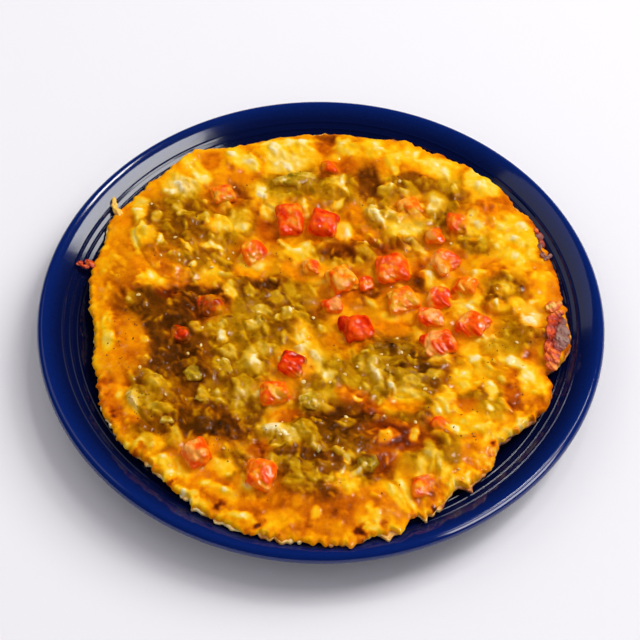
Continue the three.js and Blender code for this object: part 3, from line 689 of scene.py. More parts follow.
def toppingColour(tree):  # colours of cheese, sauce and chile, from the painted greenness, tone and redness
    place = addNode(tree, "ShaderNodeTexCoord").outputs["Object"]
    green, tone, red, raised = paintedParts(tree, "topping")
    fine = noise(tree, place, 620, 4, Roughness=0.6)
    broad = noise(tree, place, 140, 3, Roughness=0.55, Distortion=0.5)
    # painted light on raised places and painted shade in the hollows, with mottling of about 7 mm and 1.5 mm
    mottle = scaled(tree, broad, 0.3, scaled(tree, fine, 0.16, -0.08))
    uneven = scaled(tree, raised, 0.42, mottle)
    tone = scaled(tree, scaled(tree, tone, 1, uneven), 1, -0.36)
    cheeseColour = ramp(
        tree, tone, (0, "#2E0E00"), (0.2, "#8A3800"), (0.35, "#CC6400"), (0.5, "#F08C00"), (0.63, "#FFAA00"),
        (0.76, "#FFC410"), (0.88, "#FFD44A"), (1, "#FFE6A4"))
    sauceColour = ramp(
        tree, tone, (0, "#1C0E00"), (0.2, "#562C00"), (0.35, "#854A00"), (0.5, "#B37A00"), (0.63, "#D09A0A"),
        (0.76, "#E2B436"), (0.88, "#F0CC70"), (1, "#FCE8B0"))
    juiceColour = ramp(
        tree, tone, (0, "#2C0400"), (0.2, "#741400"), (0.35, "#B02A00"), (0.5, "#DC4A00"), (0.63, "#F8700C"),
        (0.76, "#FFA03C"), (0.88, "#FFC88A"), (1, "#FFEAD0"))
    return place, mixed(tree, red, mixed(tree, green, cheeseColour, sauceColour), juiceColour), fine


def wetCoat(tree, place, least, most, blur, ior):  # films of juice and fat, some 4 mm across
    film = noise(tree, place, 240, 3, Roughness=0.6)
    wet = addNode(tree, "ShaderNodeMapRange", {0: film, 1: 0.54, 2: 0.66, 3: least, 4: most})
    waves = bumped(tree, noise(tree, place, 330, 1), 0.6, 0.0009)  # a film levels the grain below it
    return {"Coat Weight": wet.outputs[0], "Coat Roughness": blur, "Coat IOR": ior, "Coat Normal": waves}


def meltedCheddar():  # oily melted cheddar: soft inner glow, a wet film on top, fine grain
    material, tree = newMaterial("melted_cheddar")
    place, colour, fine = toppingColour(tree)
    grain = bumped(tree, noise(tree, place, 900, 3), 0.15, 0.0003, bumped(tree, fine, 0.25, 0.0006))
    coverWith(tree, {
        "Base Color": colour, "Roughness": 0.42, "Specular IOR Level": 0.02, "Normal": grain,
        **wetCoat(tree, place, 0, 0.8, 0.05, 1.6),
        "Subsurface Weight": 0.06, "Subsurface Radius": (1, 0.45, 0.12), "Subsurface Scale": 0.001})
    return material


def chileSauce():  # stewed green chile: wet pulp, olive to yellow, seeds and skin in a glossy juice
    material, tree = newMaterial("stewed_green_chile")
    place, colour, fine = toppingColour(tree)
    grain = bumped(tree, noise(tree, place, 1100, 3), 0.18, 0.0003, bumped(tree, fine, 0.28, 0.0007))
    coverWith(tree, {
        "Base Color": colour, "Roughness": 0.38, "Specular IOR Level": 0.02, "Normal": grain,
        **wetCoat(tree, place, 0.06, 0.9, 0.04, 1.6),
        "Subsurface Weight": 0.08, "Subsurface Radius": (0.9, 0.7, 0.15), "Subsurface Scale": 0.001})
    return material


def bakedTortilla():  # wheat tortilla baked crisp: matt, pale cream, browned where it bubbled
    material, tree = newMaterial("baked_flour_tortilla")
    place = addNode(tree, "ShaderNodeTexCoord").outputs["Object"]
    toast = addNode(tree, "ShaderNodeAttribute", attribute_name="toast")
    tone = scaled(tree, noise(tree, place, 240, 4, Roughness=0.65), 0.9, toast.outputs["Fac"])
    colour = ramp(
        tree, tone, (0.3, "#FFF0C0"), (0.5, "#FCD98A"), (0.68, "#EFAF45"), (0.86, "#C06A18"), (1, "#5A2408"))
    coverWith(tree, {
        "Base Color": colour, "Roughness": 0.6,
        "Normal": bumped(tree, noise(tree, place, 1300, 3), 0.4, 0.0003),
        "Subsurface Weight": 0.1, "Subsurface Radius": (1, 0.6, 0.3), "Subsurface Scale": 0.001})
    return material


def tomatoFlesh():  # ripe tomato, diced and warmed: wet flesh, redder skin, pale fibres, cheese up its sides
    material, tree = newMaterial("diced_ripe_tomato")
    place, topping, fine = toppingColour(tree)
    redness, paleness, coated = paintedParts(tree, "look")[:3]
    fibres = noise(tree, place, 230, 3, Roughness=0.5, Distortion=0.3)
    tone = scaled(tree, redness, 1, scaled(tree, fibres, 1.1, -0.36))
    colour = ramp(
        tree, tone, (0.1, "#FFB224"), (0.3, "#FF8606"), (0.5, "#FC5C06"), (0.75, "#EC3402"), (1, "#B01400"))
    # the pale mix follows the painted paleness: pale flesh and fibres, and a painted highlight on the lighter
    # side
    pale = addNode(tree, "ShaderNodeMapRange", {
        0: scaled(tree, fibres, -0.9, paleness), 1: 0, 2: 0.45, 4: 0.8}, interpolation_type="SMOOTHSTEP")
    fleshy = mixed(tree, pale.outputs[0], colour, toLinear("#FFAC58"))
    coverWith(tree, {
        "Base Color": mixed(tree, coated, fleshy, topping), "Roughness": 0.3, "Specular IOR Level": 0.02,
        "Normal": bumped(tree, fine, 0.12, 0.0008), **wetCoat(tree, place, 0.35, 1, 0.05, 1.7),
        "Subsurface Weight": 0.12, "Subsurface Radius": (1, 0.3, 0.08), "Subsurface Scale": 0.0014})
    return material


def chilePiece():  # peeled roasted chile: yellow-green flesh, wet, with fine fibres, sauce up its sides
    material, tree = newMaterial("peeled_green_chile")
    place, topping, _ = toppingColour(tree)
    paleness, _, coated = paintedParts(tree, "look")[:3]
    fibres = noise(tree, place, 330, 4, Roughness=0.6)
    colour = ramp(
        tree, scaled(tree, fibres, 0.9, paleness),
        (0.1, "#5A4200"), (0.3, "#967200"), (0.48, "#C49A0C"), (0.66, "#E0BE38"), (0.9, "#FAECB0"))
    coverWith(tree, {
        "Base Color": mixed(tree, coated, colour, topping), "Roughness": 0.35, "Specular IOR Level": 0.08,
        "Normal": bumped(tree, fibres, 0.5, 0.0006), **wetCoat(tree, place, 0.25, 1, 0.05, 1.6),
        "Subsurface Weight": 0.1, "Subsurface Radius": (0.9, 0.8, 0.2), "Subsurface Scale": 0.0012})
    return material


def burntCheese():  # cheese that ran over the edge and burnt: orange to dark brown, ash grey on its ridges
    material, tree = newMaterial("burnt_cheese")
    place = addNode(tree, "ShaderNodeTexCoord").outputs["Object"]
    charred, ashy = paintedParts(tree, "look")[:2]
    patches = noise(tree, place, 260, 4, Roughness=0.6)
    char = scaled(tree, patches, 0.9, charred)
    colour = ramp(tree, char, (0.2, "#FFC850"), (0.45, "#F67A16"), (0.7, "#DC4408"), (0.95, "#8E2006"))
    burnt = addNode(tree, "ShaderNodeMapRange", {0: char, 1: 1.1, 2: 1.5})
    colour = mixed(tree, burnt.outputs[0], colour, toLinear("#6A2E1A"))
    wrinkles = addNode(tree, "ShaderNodeTexWave", {
        "Vector": place, "Scale": 210, "Distortion": 4, "Detail": 2}, bands_direction="DIAGONAL")
    coverWith(tree, {
        "Base Color": mixed(tree, ashy, colour, toLinear("#A88474")), "Roughness": 0.45,
        "Normal": bumped(tree, wrinkles.outputs[0], 0.5, 0.0004, bumped(tree, patches, 0.8, 0.001))})
    return material


def plainFood(name, colour, dark, scale, blur):  # one mottled colour, for seeds and ground pepper
    material, tree = newMaterial(name)
    place = addNode(tree, "ShaderNodeTexCoord").outputs["Object"]
    coverWith(tree, {
        "Base Color": ramp(tree, noise(tree, place, scale, 3), (0.35, dark), (0.65, colour)),
        "Roughness": blur, "Specular IOR Level": 0.4})
    return material


finishes = {
    "glaze": ceramicGlaze(),
    "cheddar": meltedCheddar(),
    "sauce": chileSauce(),
    "tortilla": bakedTortilla(),
    "tomato": tomatoFlesh(),
    "chile": chilePiece(),
    "burnt": burntCheese(),
    "seed": plainFood("chile_seed", "#F8DC90", "#DCAE48", 700, 0.45),
    "pepper": plainFood("ground_pepper", "#4A2A10", "#160A02", 900, 0.6),
}
print("materials made")


# Plate

plate = {
    "radius": 133.35, "crestRadius": 130.4, "crestHeight": 22.2, "crestFoot": 127.6, "lipHeight": 19.3,
    "floorRadius": 86, "floorHeight": 7, "wellRadius": 100, "wellHeight": 9.8,
    "rimSlope": 0.4, "rimCurve": 0.00056, "wall": 5.2, "recess": 2.2, "footInner": 74, "footOuter": 80,
    "footDraft": 1.3, "underside": (124, 110, 100, 91), "ridges": (114.4, 117.9, 121.3),
    "ridgeWidth": 1.5, "ridgeHeight": 0.45, "steps": 240, "centreHole": 4, "wellStep": 4, "rimStep": 0.22,
    "lipDegrees": range(100, -86, -9), "footRound": 0.3, "footFlat": 0.4,
}


def plateHeight(r):
    if r < plate["floorRadius"]:
        return plate["floorHeight"]
    if r < plate["wellRadius"]:
        share = (r - plate["floorRadius"]) / (plate["wellRadius"] - plate["floorRadius"])
        return plate["floorHeight"] + (plate["wellHeight"] - plate["floorHeight"]) * share * share
    out = r - plate["wellRadius"]
    ridge = 0
    for middle in plate["ridges"]:
        away = abs(r - middle) / (plate["ridgeWidth"] / 2)
        ridge += plate["ridgeHeight"] * (math.cos(math.pi * min(away, 1)) + 1) / 2
    return plate["wellHeight"] + plate["rimSlope"] * out + plate["rimCurve"] * out * out + ridge


def plateProfile():
    wellRadii = np.arange(plate["centreHole"], plate["wellRadius"] + 8, plate["wellStep"])
    rimRadii = np.arange(plate["wellRadius"] + 10, plate["crestFoot"], plate["rimStep"])
    top = [(r, plateHeight(r)) for r in [*wellRadii, *rimRadii]]
    reach = plate["radius"] - plate["crestRadius"]
    drop = plate["crestHeight"] - plate["lipHeight"]
    lip = []
    for degrees in plate["lipDegrees"]:
        angle = math.radians(degrees)
        r = plate["crestRadius"] + reach * math.cos(angle)
        lip.append((r, plate["lipHeight"] + drop * math.sin(angle)))
    lower = [(r, plateHeight(r) - plate["wall"]) for r in plate["underside"]]
    edge = plate["footRound"]
    foot = [
        (plate["footOuter"] + plate["footDraft"], plate["recess"] * 0.7), (plate["footOuter"] + edge, edge),
        (plate["footOuter"] - plate["footFlat"], 0), (plate["footInner"] + plate["footFlat"], 0),
        (plate["footInner"] - edge, edge), (plate["footInner"] - plate["footDraft"], plate["recess"]),
        (plate["centreHole"], plate["recess"]),
    ]
    return top + lip + lower + foot


def makePlate():
    profile = plateProfile()
    deselectAll()
    bpy.ops.mesh.primitive_plane_add(size=0.001)
    piece = bpy.context.object
    bpy.ops.object.mode_set(mode="EDIT")
    bpy.ops.mesh.merge(type="CENTER")
    r, z = profile[0]
    bpy.ops.transform.translate(value=(r * mm, 0, z * mm))
    for (fromR, fromZ), (toR, toZ) in zip(profile, profile[1:]):
        move = ((toR - fromR) * mm, 0, (toZ - fromZ) * mm)
        bpy.ops.mesh.extrude_region_move(TRANSFORM_OT_translate={"value": move})
    bpy.ops.mesh.select_all(action="SELECT")
    bpy.ops.mesh.spin(steps=plate["steps"], angle=2 * math.pi, center=(0, 0, 0), axis=(0, 0, 1))
    bpy.ops.mesh.select_all(action="SELECT")
    bpy.ops.mesh.remove_doubles(threshold=0.00002)
    bpy.ops.mesh.select_all(action="DESELECT")
    bpy.ops.mesh.select_non_manifold(extend=False)  # the small holes in the middle, above and below
    bpy.ops.mesh.edge_face_add()
    bpy.ops.mesh.select_all(action="SELECT")
    bpy.ops.mesh.normals_make_consistent(inside=False)
    bpy.ops.object.mode_set(mode="OBJECT")
    return finishPiece(piece, "dinner_plate", finishes["glaze"], ["plate"])


makePlate()
print("plate made")


# Tortilla

tortilla = {"shares": (0.2, 0.4, 0.6, 0.8, 0.9), "outer": (0.93, 0.95, 0.965, 0.975, 0.983, 0.99, 0.996),
            "edgePoints": 1100, "ragged": 1.5, "crumb": 0.6, "edgeHeights": (0.15, 0.5, 0.85),
            # browner parts of the edge: degrees, width in degrees, strength
            "toasted": ((0, 60, 0.32), (78, 40, 0.2), (195, 10, 0.35), (-60, 30, 0.1), (222, 9, 0.2))}


def makeTortilla():
    def ring(share, count, field, lift):
        x, y = ringPlaces(share, count, tortilla["ragged"], 11)
        z = fieldAt(field, x, y)
        rough = roughness(x, y, 5, 21) * tortilla["crumb"] * ease((share - 0.9) / 0.06)
        return np.stack([x, y, z + lift * rough], axis=1)

    coarse = [(share, int(40 + 200 * share)) for share in tortilla["shares"]]
    fine = [(share, tortilla["edgePoints"]) for share in tortilla["outer"]]
    lower = [ring(share, count, breadFoot, 0.3) for share, count in coarse + fine]
    upper = [ring(share, count, breadTop, 1) for share, count in reversed(coarse + fine)]
    rim = []
    for height in tortilla["edgeHeights"]:
        inset = 0.25 * abs(height - 0.5) / 0.35
        x, y = ringPlaces(1, tortilla["edgePoints"], tortilla["ragged"], 11, inset)
        low = fieldAt(breadFoot, x, y)
        high = fieldAt(breadTop, x, y)
        bulge = 0.3 * roughness(x * 1.3, y * 1.3, 3, 23 + int(9 * height))
        dx = x - crispCentre[0]
        dy = y - crispCentre[1]
        reach = np.hypot(dx, dy)
        z = low + (high - low) * height
        rim.append(np.stack([x + bulge * dx / reach, y + bulge * dy / reach, z], axis=1))
    piece = ringPiece("baked_tortilla", lower + rim + upper)
    places = coordinates(piece)
    dx = places[:, 0] - crispCentre[0]
    dy = places[:, 1] - crispCentre[1]
    angle = np.degrees(np.arctan2(dy, dx))
    toast = 0.12 * roughness(places[:, 0], places[:, 1], 12, 27)
    for middle, width, size in tortilla["toasted"]:
        toward = (angle - middle + 180) % 360 - 180
        toast += size * np.exp(-(toward / width) ** 2)
    out = np.hypot(dx, dy) - edgeReach(np.radians(angle), 0, 0)
    spots = np.clip(roughness(places[:, 0], places[:, 1], 5, 29) + 0.1, 0, 1)
    toast += 0.5 * ease((out + 1.5) / 2) * spots
    layer = piece.data.attributes.new("toast", "FLOAT", "POINT")
    layer.data.foreach_set("value", toast.astype(np.float32))
    return finishPiece(piece, "baked_tortilla", finishes["tortilla"], ["tortilla"])


makeTortilla()
print("tortilla made")


# Melted cheese and the beds of chopped chile

cheese = {"rings": 146, "ragged": 1.8, "inset": -0.1, "roll": 1.5, "gap": 0.15, "edge": 0.2, "skirt": 1.9,
          "thinnest": 0.4, "sink": 0.8, "footRings": ((0.2, 60), (0.4, 120), (0.6, 180), (0.8, 240))}
bed = {"spacing": 0.62, "margin": 1.2, "sink": 1.4, "tuck": 0.2, "thinnest": 0.3, "angles": 120}


def paintTopping(piece):
    places = coordinates(piece)
    paint(piece, "topping", [fieldAt(fields[name], places[:, 0], places[:, 1])
                             for name in ("green", "tone", "red", "raised")])


def toppingRoll(x, y):  # 0 on the edge of the cheese, 1 well inside
    dx = x - crispCentre[0]
    dy = y - crispCentre[1]
    inside = edgeReach(np.arctan2(dy, dx), cheese["ragged"], 13) - cheese["inset"] - np.hypot(dx, dy)
    return np.sqrt(np.clip(inside / cheese["roll"], 0, 1))


def reliefAt(x, y):  # a skirt of cheese climbs each piece of tomato and chile
    return fieldAt(fields["relief"], x, y) + cheese["skirt"] * fieldAt(chunkCover, x, y)


def openHeight(x, y):  # the cheese where no chopped chile lies on it
    low = fieldAt(breadTop, x, y) + cheese["edge"]
    thickness = fieldAt(cheeseTop, x, y) + reliefAt(x, y) - low
    return low + np.maximum(thickness, cheese["thinnest"]) * toppingRoll(x, y)


def cheeseHeight(x, y):
    return openHeight(x, y) - cheese["sink"] * ease((fieldAt(bedCover, x, y) - 0.55) / 0.3)


def toppingTop(x, y):  # beds of chile run into the cheese without a step
    ground = openHeight(x, y)
    share = ease((fieldAt(bedCover, x, y) - 0.2) / 0.6)
    return ground + np.maximum(fieldAt(bedTop, x, y) + reliefAt(x, y) - ground, bed["thinnest"]) * share


def makeCheese():
    def ring(share, count, height):
        x, y = ringPlaces(share, count, cheese["ragged"], 13, inset=cheese["inset"])
        return np.stack([x, y, height(x, y)], axis=1)

    def foot(x, y):
        return fieldAt(breadTop, x, y) + cheese["gap"]

    n = cheese["rings"]
    lower = [ring(share, count, foot) for share, count in (*cheese["footRings"], (1, 8 * n))]
    upper = [ring(k / n, 8 * k, cheeseHeight) for k in range(n, 0, -1)]
    piece = ringPiece("melted_cheese", lower + upper)
    paintTopping(piece)
    return finishPiece(piece, "melted_cheese", finishes["cheddar"], ["cheese"])


cheesePiece = makeCheese()
print("cheese made:", len(cheesePiece.data.polygons), "faces")


def makeBed(name):
    low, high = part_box(name)
    centre = ((low.x + high.x) / 2 / mm, (low.y + high.y) / 2 / mm)
    tree = solidTree([name])

    def overSolid(angle, out):
        x = centre[0] + out * math.cos(angle)
        return not math.isnan(topOf(tree, x, centre[1] + out * math.sin(angle)))

    reach = []
    for k in range(bed["angles"]):
        angle = 2 * math.pi * k / bed["angles"]
        out = 3
        while overSolid(angle, out):
            out += 0.5
        reach.append(out)
    reach = np.array(reach + reach[:1])

    def placesOf(share, count):
        angle = 2 * math.pi * np.arange(count) / count
        steps = angle * bed["angles"] / (2 * math.pi)
        out = np.interp(steps, np.arange(bed["angles"] + 1), reach) + bed["margin"]
        return centre[0] + out * share * np.cos(angle), centre[1] + out * share * np.sin(angle)

    def topRing(share, count):
        x, y = placesOf(share, count)
        return np.stack([x, y, toppingTop(x, y) - bed["tuck"] * ease((share - 0.9) / 0.1)], axis=1)

    def footRing(share, count):
        x, y = placesOf(share, count)
        return np.stack([x, y, openHeight(x, y) - bed["sink"]], axis=1)

    n = int(reach.max() / bed["spacing"])
    lower = [footRing(0.5, 4 * n), footRing(1, 8 * n)]
    upper = [topRing(k / n, 8 * k) for k in range(n, 0, -1)]
    number = name[-2:]
    piece = ringPiece("chopped_chile_" + number, lower + upper)
    paintTopping(piece)
    return finishPiece(piece, "chopped_chile_" + number, finishes["sauce"], [name])


for name in bedNames:
    makeBed(name)
print("chile beds made")


# Diced tomato and the large pieces of chile, from copies of their solids

# how the topping climbs them, in mm, and how their colour changes by side and in patches; the change by side
# is partly real flesh and skin, partly painted light and shade
chunk = {"voxel": 0.4, "coatDepth": 1.6, "coatFade": 2.2, "shadingSideTint": 0.12, "shadingSidePale": 0.3,
         "patchTint": 0.45, "patchPale": 0.4, "dull": 0.1}


def refinedCopy(node, rounding):
    piece = bpy.data.objects.new("copy_" + node, cadNodes[node].data.copy())
    scene.collection.objects.link(piece)
    choose(piece)
    bpy.ops.object.mode_set(mode="EDIT")
    bpy.ops.mesh.select_all(action="SELECT")
    bpy.ops.mesh.remove_doubles(threshold=0.000001)
    bpy.ops.object.mode_set(mode="OBJECT")
    applyModifier(piece, "REMESH", mode="VOXEL", voxel_size=chunk["voxel"] * mm)
    applyModifier(piece, "SMOOTH", factor=0.5, iterations=rounding)
    return piece


def normalsOf(piece):
    normals = np.empty(len(piece.data.vertices) * 3)
    piece.data.vertices.foreach_get("normal", normals)
    return normals.reshape(-1, 3)


def puffed(piece, amounts, seed, outward=0):  # pushes the surface along its normals, by length of wave
    places = coordinates(piece)
    x = places[:, 0] + 1.7 * places[:, 2]
    y = places[:, 1] - 1.3 * places[:, 2]
    waves = [amount * roughness(x, y, length, seed + length) for length, amount in amounts.items()]
    push = outward + sum(waves)
    moveVertices(piece, places + normalsOf(piece) * push[:, None])


def paintChunk(piece, tint, pale, toward, melt):
    places = coordinates(piece)
    middle = (places.min(axis=0) + places.max(axis=0)) / 2
    half = (places.max(axis=0) - places.min(axis=0)) / 2
    # on tomato the given side is paler and less red, partly pale cut flesh and partly painted light and
    # highlight, and the far side is redder, partly skin and partly painted shade
    shadingSide = ((places - middle) / half) @ np.array(Vector(toward).normalized())
    x = places[:, 0]
    y = places[:, 1]
    above = places[:, 2] - toppingTop(x, y) + 0.7 * roughness(x, y, 3, 95)
    coat = ease((melt + chunk["coatDepth"] - above) / chunk["coatFade"])
    uneven = roughness(x + 1.6 * places[:, 2], y - 1.6 * places[:, 2], 7, 96)
    redness = tint - chunk["shadingSideTint"] * shadingSide + chunk["patchTint"] * uneven
    paleness = pale - chunk["dull"] + chunk["shadingSidePale"] * shadingSide - chunk["patchPale"] * uneven
    paint(piece, "look", [redness, paleness, coat, np.ones_like(x)])
    paintTopping(piece)


# passes of smoothing, lengths and heights of the waves in mm, swelling in mm, seed
tomato = {"rounding": 90, "waves": {8: 1.9, 3.4: 1}, "swelling": 0.45, "seed": 91}
# paleness is partly pale flesh and partly a painted highlight; the palest side is painted lighter and the far
# side darker
tomatoLooks = {  # redness, paleness, its palest side, height in mm to which the cheese coats it
    "01": (0.3, 0.15, (0, 0, 1), 0.6), "02": (0.2, 0.25, (-1, -1, 1), 0.6),
    "03": (0.42, 0.3, (-1, 0, 1), 0.2), "04": (0.56, 0.1, (-1, -1, 1), 0.4),
    "05": (0.35, 0.3, (-1, 0, 1), 1), "06": (0.2, 0.4, (0, 0, 1), 0.8), "07": (0.25, 0.4, (0, 0, 1), 1.2),
    "08": (0.35, 0, (0, 0, 1), 1.8), "09": (0.12, 0.5, (-1, 0, 1), 0.5), "10": (0.4, 0.2, (0, -1, 1), 0.3),
    "11": (0.2, 0.3, (-1, 0, 1), 0.6), "12": (0.12, 0.4, (0, -1, 1), 0.4), "13": (0.5, 0, (0, 0, 1), 0.8),
    "14": (0.3, 0.55, (0, 0, 1), 0.4), "15": (0.14, 0.2, (-1, 0, 1), 0.8),
    "16": (0.3, 0.35, (-1, 0, 1), 0.5), "17": (0.35, 0.2, (0, 0, 1), 0.4),
    "18": (0.38, 0.35, (0, 0, 1), 0.6), "19": (0.64, 0.1, (0, -1, 0.6), 0.4),
    "20": (0.34, 0.5, (-0.3, 0, 1), 0.2), "21": (0.4, 0.3, (-1, 0.4, 1), 0.3),
    "22": (0.34, 0, (0, 0, 1), 0.5), "23": (0.22, 0.55, (-1, -0.2, 1), 0.2),
    "24": (0.26, 0.3, (0.6, -1, 1), 0.6), "25": (0.68, 0.05, (0, 0, 1), 0.8),
    "26": (0.14, 0.2, (0, -1, 1), 0.6), "27": (0.55, 0, (0, 0, 1), 0.9), "28": (0.6, 0, (0, 0, 1), 2.6),
    "29": (0.78, 0, (0, 0, 1), 2.4),
}


def makeTomato(number):
    node = "tomato_" + number
    piece = refinedCopy(node, tomato["rounding"])
    puffed(piece, tomato["waves"], tomato["seed"] + int(number), tomato["swelling"])
    paintChunk(piece, *tomatoLooks[number])
    return finishPiece(piece, "diced_tomato_" + number, finishes["tomato"], [node])


for number in tomatoLooks:
    makeTomato(number)
print("tomato made")

chile = {"rounding": 8, "waves": {8: 1, 3: 0.5}, "seed": 97}
chileLooks = {  # tone, height in mm to which the sauce coats it
    "01": (0.02, 0.6), "02": (0.12, 0.8), "03": (0.06, 1), "04": (0.1, 0.6), "05": (0.12, 0.5),
    "06": (0.3, 0.4), "07": (0.06, 0.8), "08": (0.12, 0.4), "09": (0.14, 0.6), "10": (0, 0.7),
    "11": (0.3, 0.4), "12": (0.14, 0.5), "13": (0.14, 0.6), "14": (0.04, 1), "15": (-0.14, 0.8),
    "16": (-0.1, 0.8), "17": (0.12, 0.6),
}


def makeChile(number):
    node = "chile_" + number
    piece = refinedCopy(node, chile["rounding"])
    puffed(piece, chile["waves"], chile["seed"] + int(number))
    tone, melt = chileLooks[number]
    paintChunk(piece, tone, 0, (0, 0, 1), melt)
    return finishPiece(piece, "green_chile_" + number, finishes["chile"], [node])


for number in chileLooks:
    makeChile(number)
print("large chile pieces made")


# Burnt and curled bits at the edge, seeds and pepper

edgeBits = {  # lumps: x, y, height over the crisp, half sizes, degrees turned, char from 0 to 1
    "burnt_blister": [
        (110.8, 4.4, 1.2, (3.2, 2.3, 1.6), 35, 0.25), (108, 1.6, 0.9, (2.6, 3.2, 1.2), 10, 0),
        (110.6, -0.8, 1.1, (3.2, 2.2, 1.4), 15, 0.3), (111.9, -5.4, 1.5, (3.2, 3.6, 1.9), 0, 0.78),
        (108.6, -6, 0.8, (2.4, 4.2, 1.2), 5, 0.45), (112.4, -12, 1.6, (3.6, 3.6, 2), 0, 0.97),
        (110.8, -17.6, 1.5, (4.6, 3.4, 1.9), -12, 1), (109.8, -21.4, 1.2, (3.8, 2.4, 1.6), -18, 0.75),
        (107, -14, 0.7, (2.2, 5, 1.1), 5, 0.3), (105.6, -21.4, 0.7, (2, 4, 1.1), -10, 0.35),
        (108, -25, 1.1, (3.6, 2.4, 1.6), -22, 0.4), (105, -27, 0.8, (2.6, 2.4, 1.3), -10, 0.35),
        (108, -28.4, 0.9, (2.4, 2, 1.3), -15, 0.3), (106.4, -31.2, 0.8, (3.2, 1.9, 1.2), -30, 0.2),
    ],
    "edge_curl": [
        (104.8, 46.4, 0.5, (1.7, 2.6, 1), 30, 0.8), (106, 42.6, 0.6, (1.4, 2.6, 1), 20, 0.7),
        (105, 38.8, 0.8, (1.3, 3, 1.1), 6, 0.85), (106, 34.8, 0.8, (1.5, 2.2, 1.1), -14, 0.8),
        (108.4, 33.2, 1, (2.4, 1.3, 1.1), 40, 0.85), (103.8, 50, 0.3, (1.2, 2.2, 0.8), 25, 0.3),
    ],
    "left_burnt_bit": [
        (-110.4, 27, 0.5, (2.8, 1.2, 0.9), 170, 0.3), (-113.6, 26, 0.4, (2.6, 1, 0.8), 160, 0.5),
        (-116, 27.6, 0.5, (1.6, 0.9, 0.7), 200, 0.4), (-112.4, 29, 0.5, (1.2, 1.6, 0.7), 200, 0.4),
    ],
    "left_yellow_curl": [
        (-99.6, 59.6, 0.5, (3, 1.7, 1.2), 120, -0.3), (-101.6, 63.4, 0.9, (2.8, 1.4, 1.1), 110, -0.3),
        (-102.4, 66.6, 1.4, (1.8, 1, 0.9), 100, -0.2),
    ],
}
edgeBit = {"voxel": 0.3, "rounding": 3, "waves": {5: 1.2, 2.4: 0.8, 1.3: 0.5}, "seed": 111,
           "ashFrom": 0.66, "ashFade": 0.25, "ash": 0.9}


def heightAt(x, y):
    return toppingTop(np.array([x]), np.array([y]))[0]


def makeEdgeBit(name):
    lumps = edgeBits[name]
    deselectAll()
    for x, y, lift, half, turn, char in lumps:
        z = heightAt(x, y) + lift
        bpy.ops.mesh.primitive_uv_sphere_add(
            segments=32, ring_count=20, radius=1, location=(x * mm, y * mm, z * mm),
            rotation=(0, 0, math.radians(turn)), scale=[size * mm for size in half])
    pieces = [piece for piece in scene.objects if piece.name.startswith("Sphere")]
    for piece in pieces:
        piece.select_set(True)
    bpy.ops.object.join()
    piece = bpy.context.object
    bpy.ops.object.transform_apply(location=True, rotation=True, scale=True)
    applyModifier(piece, "REMESH", mode="VOXEL", voxel_size=edgeBit["voxel"] * mm)
    applyModifier(piece, "SMOOTH", factor=0.5, iterations=edgeBit["rounding"])
    puffed(piece, edgeBit["waves"], edgeBit["seed"])
    places = coordinates(piece)
    char = np.zeros(len(places))
    total = np.zeros(len(places))
    ridge = np.zeros(len(places))
    for x, y, lift, half, turn, amount in lumps:
        dx, dy = turned(places[:, 0] - x, places[:, 1] - y, -turn)
        near = np.exp(-(dx / half[0]) ** 2 - (dy / half[1]) ** 2) + 1e-6
        char += near * amount
        total += near
        ridge = np.maximum(ridge, np.exp(-(dy / (0.45 * half[1])) ** 2) * (np.abs(dx) < half[0]))
    char /= total
    # darker away from the ridges: partly deeper char, partly painted shade in the hollows between the lumps
    hollow = 1 - np.clip(ridge, 0, 1)
    ash = ease((char - edgeBit["ashFrom"]) / edgeBit["ashFade"])
    grey = edgeBit["ash"] * ash * (0.35 + 0.65 * ridge)
    paint(piece, "look", [char - 0.3 + 0.25 * hollow, grey, np.zeros_like(char), np.ones_like(char)])
    return finishPiece(piece, name, finishes["burnt"])


for name in edgeBits:
    makeEdgeBit(name)
print("edge bits made")

crumbs = {
    "seedPlaces": [
        (-83.4, 64.2), (-77.1, 30.9), (-55.5, -21), (-61.3, -25.7), (-13.2, 1.6), (35.6, -14.9),
        (37.4, -24), (41, -25.7), (48.1, -44.5), (29.2, -59.6), (17, -32.2), (72.5, 58.1), (28, -25),
        (-17, -63), (-68, 28), (-62, 26), (12, -61), (52, 30), (-20, 54), (83, 12), (62, -88)],
    "seeds": 34, "seedSize": (0.8, 1.2), "seedThickness": 0.4,
    "specks": 180, "speckSize": (0.2, 0.45), "speckThickness": 0.3, "reach": 108, "speckReach": 102,
    "speckClusters": [
        (-94, -34), (-90, -12), (-60, -66), (-84, -62), (66, -64), (86, -46), (-40, -74), (88, -20)],
    "clusterSpread": 7,
}


def scatter(name, places, sizes, thickness, material, random):
    points = []
    faces = []
    for (x, y), size in zip(places, sizes):
        deselectAll()
        bpy.ops.mesh.primitive_ico_sphere_add(subdivisions=2, radius=1)
        grain = bpy.context.object
        shape = np.array([v.co for v in grain.data.vertices])
        grainFaces = [list(polygon.vertices) for polygon in grain.data.polygons]
        bpy.data.objects.remove(grain)
        shape *= size * np.array([1, random.uniform(0.45, 0.9), thickness / size])
        spin = Matrix.Rotation(random.uniform(0, 6), 3, "Z")
        tilt = Matrix.Rotation(random.uniform(-0.3, 0.3), 3, "X")
        shape = shape @ np.array(spin @ tilt).T
        start = len(points)
        points += (shape + (x, y, heightAt(x, y) + thickness * 0.2)).tolist()
        faces += [[start + k for k in face] for face in grainFaces]
    piece = pieceFrom(points, faces, name)
    return finishPiece(piece, name, material)


def randomPlaces(count, chance, random):
    places = []
    while len(places) < count:
        x, y = randomPlace(crumbs["reach"], random)
        if random.uniform() < fieldAt(chance, np.array([x]), np.array([y]))[0]:
            places.append((x, y))
    return places


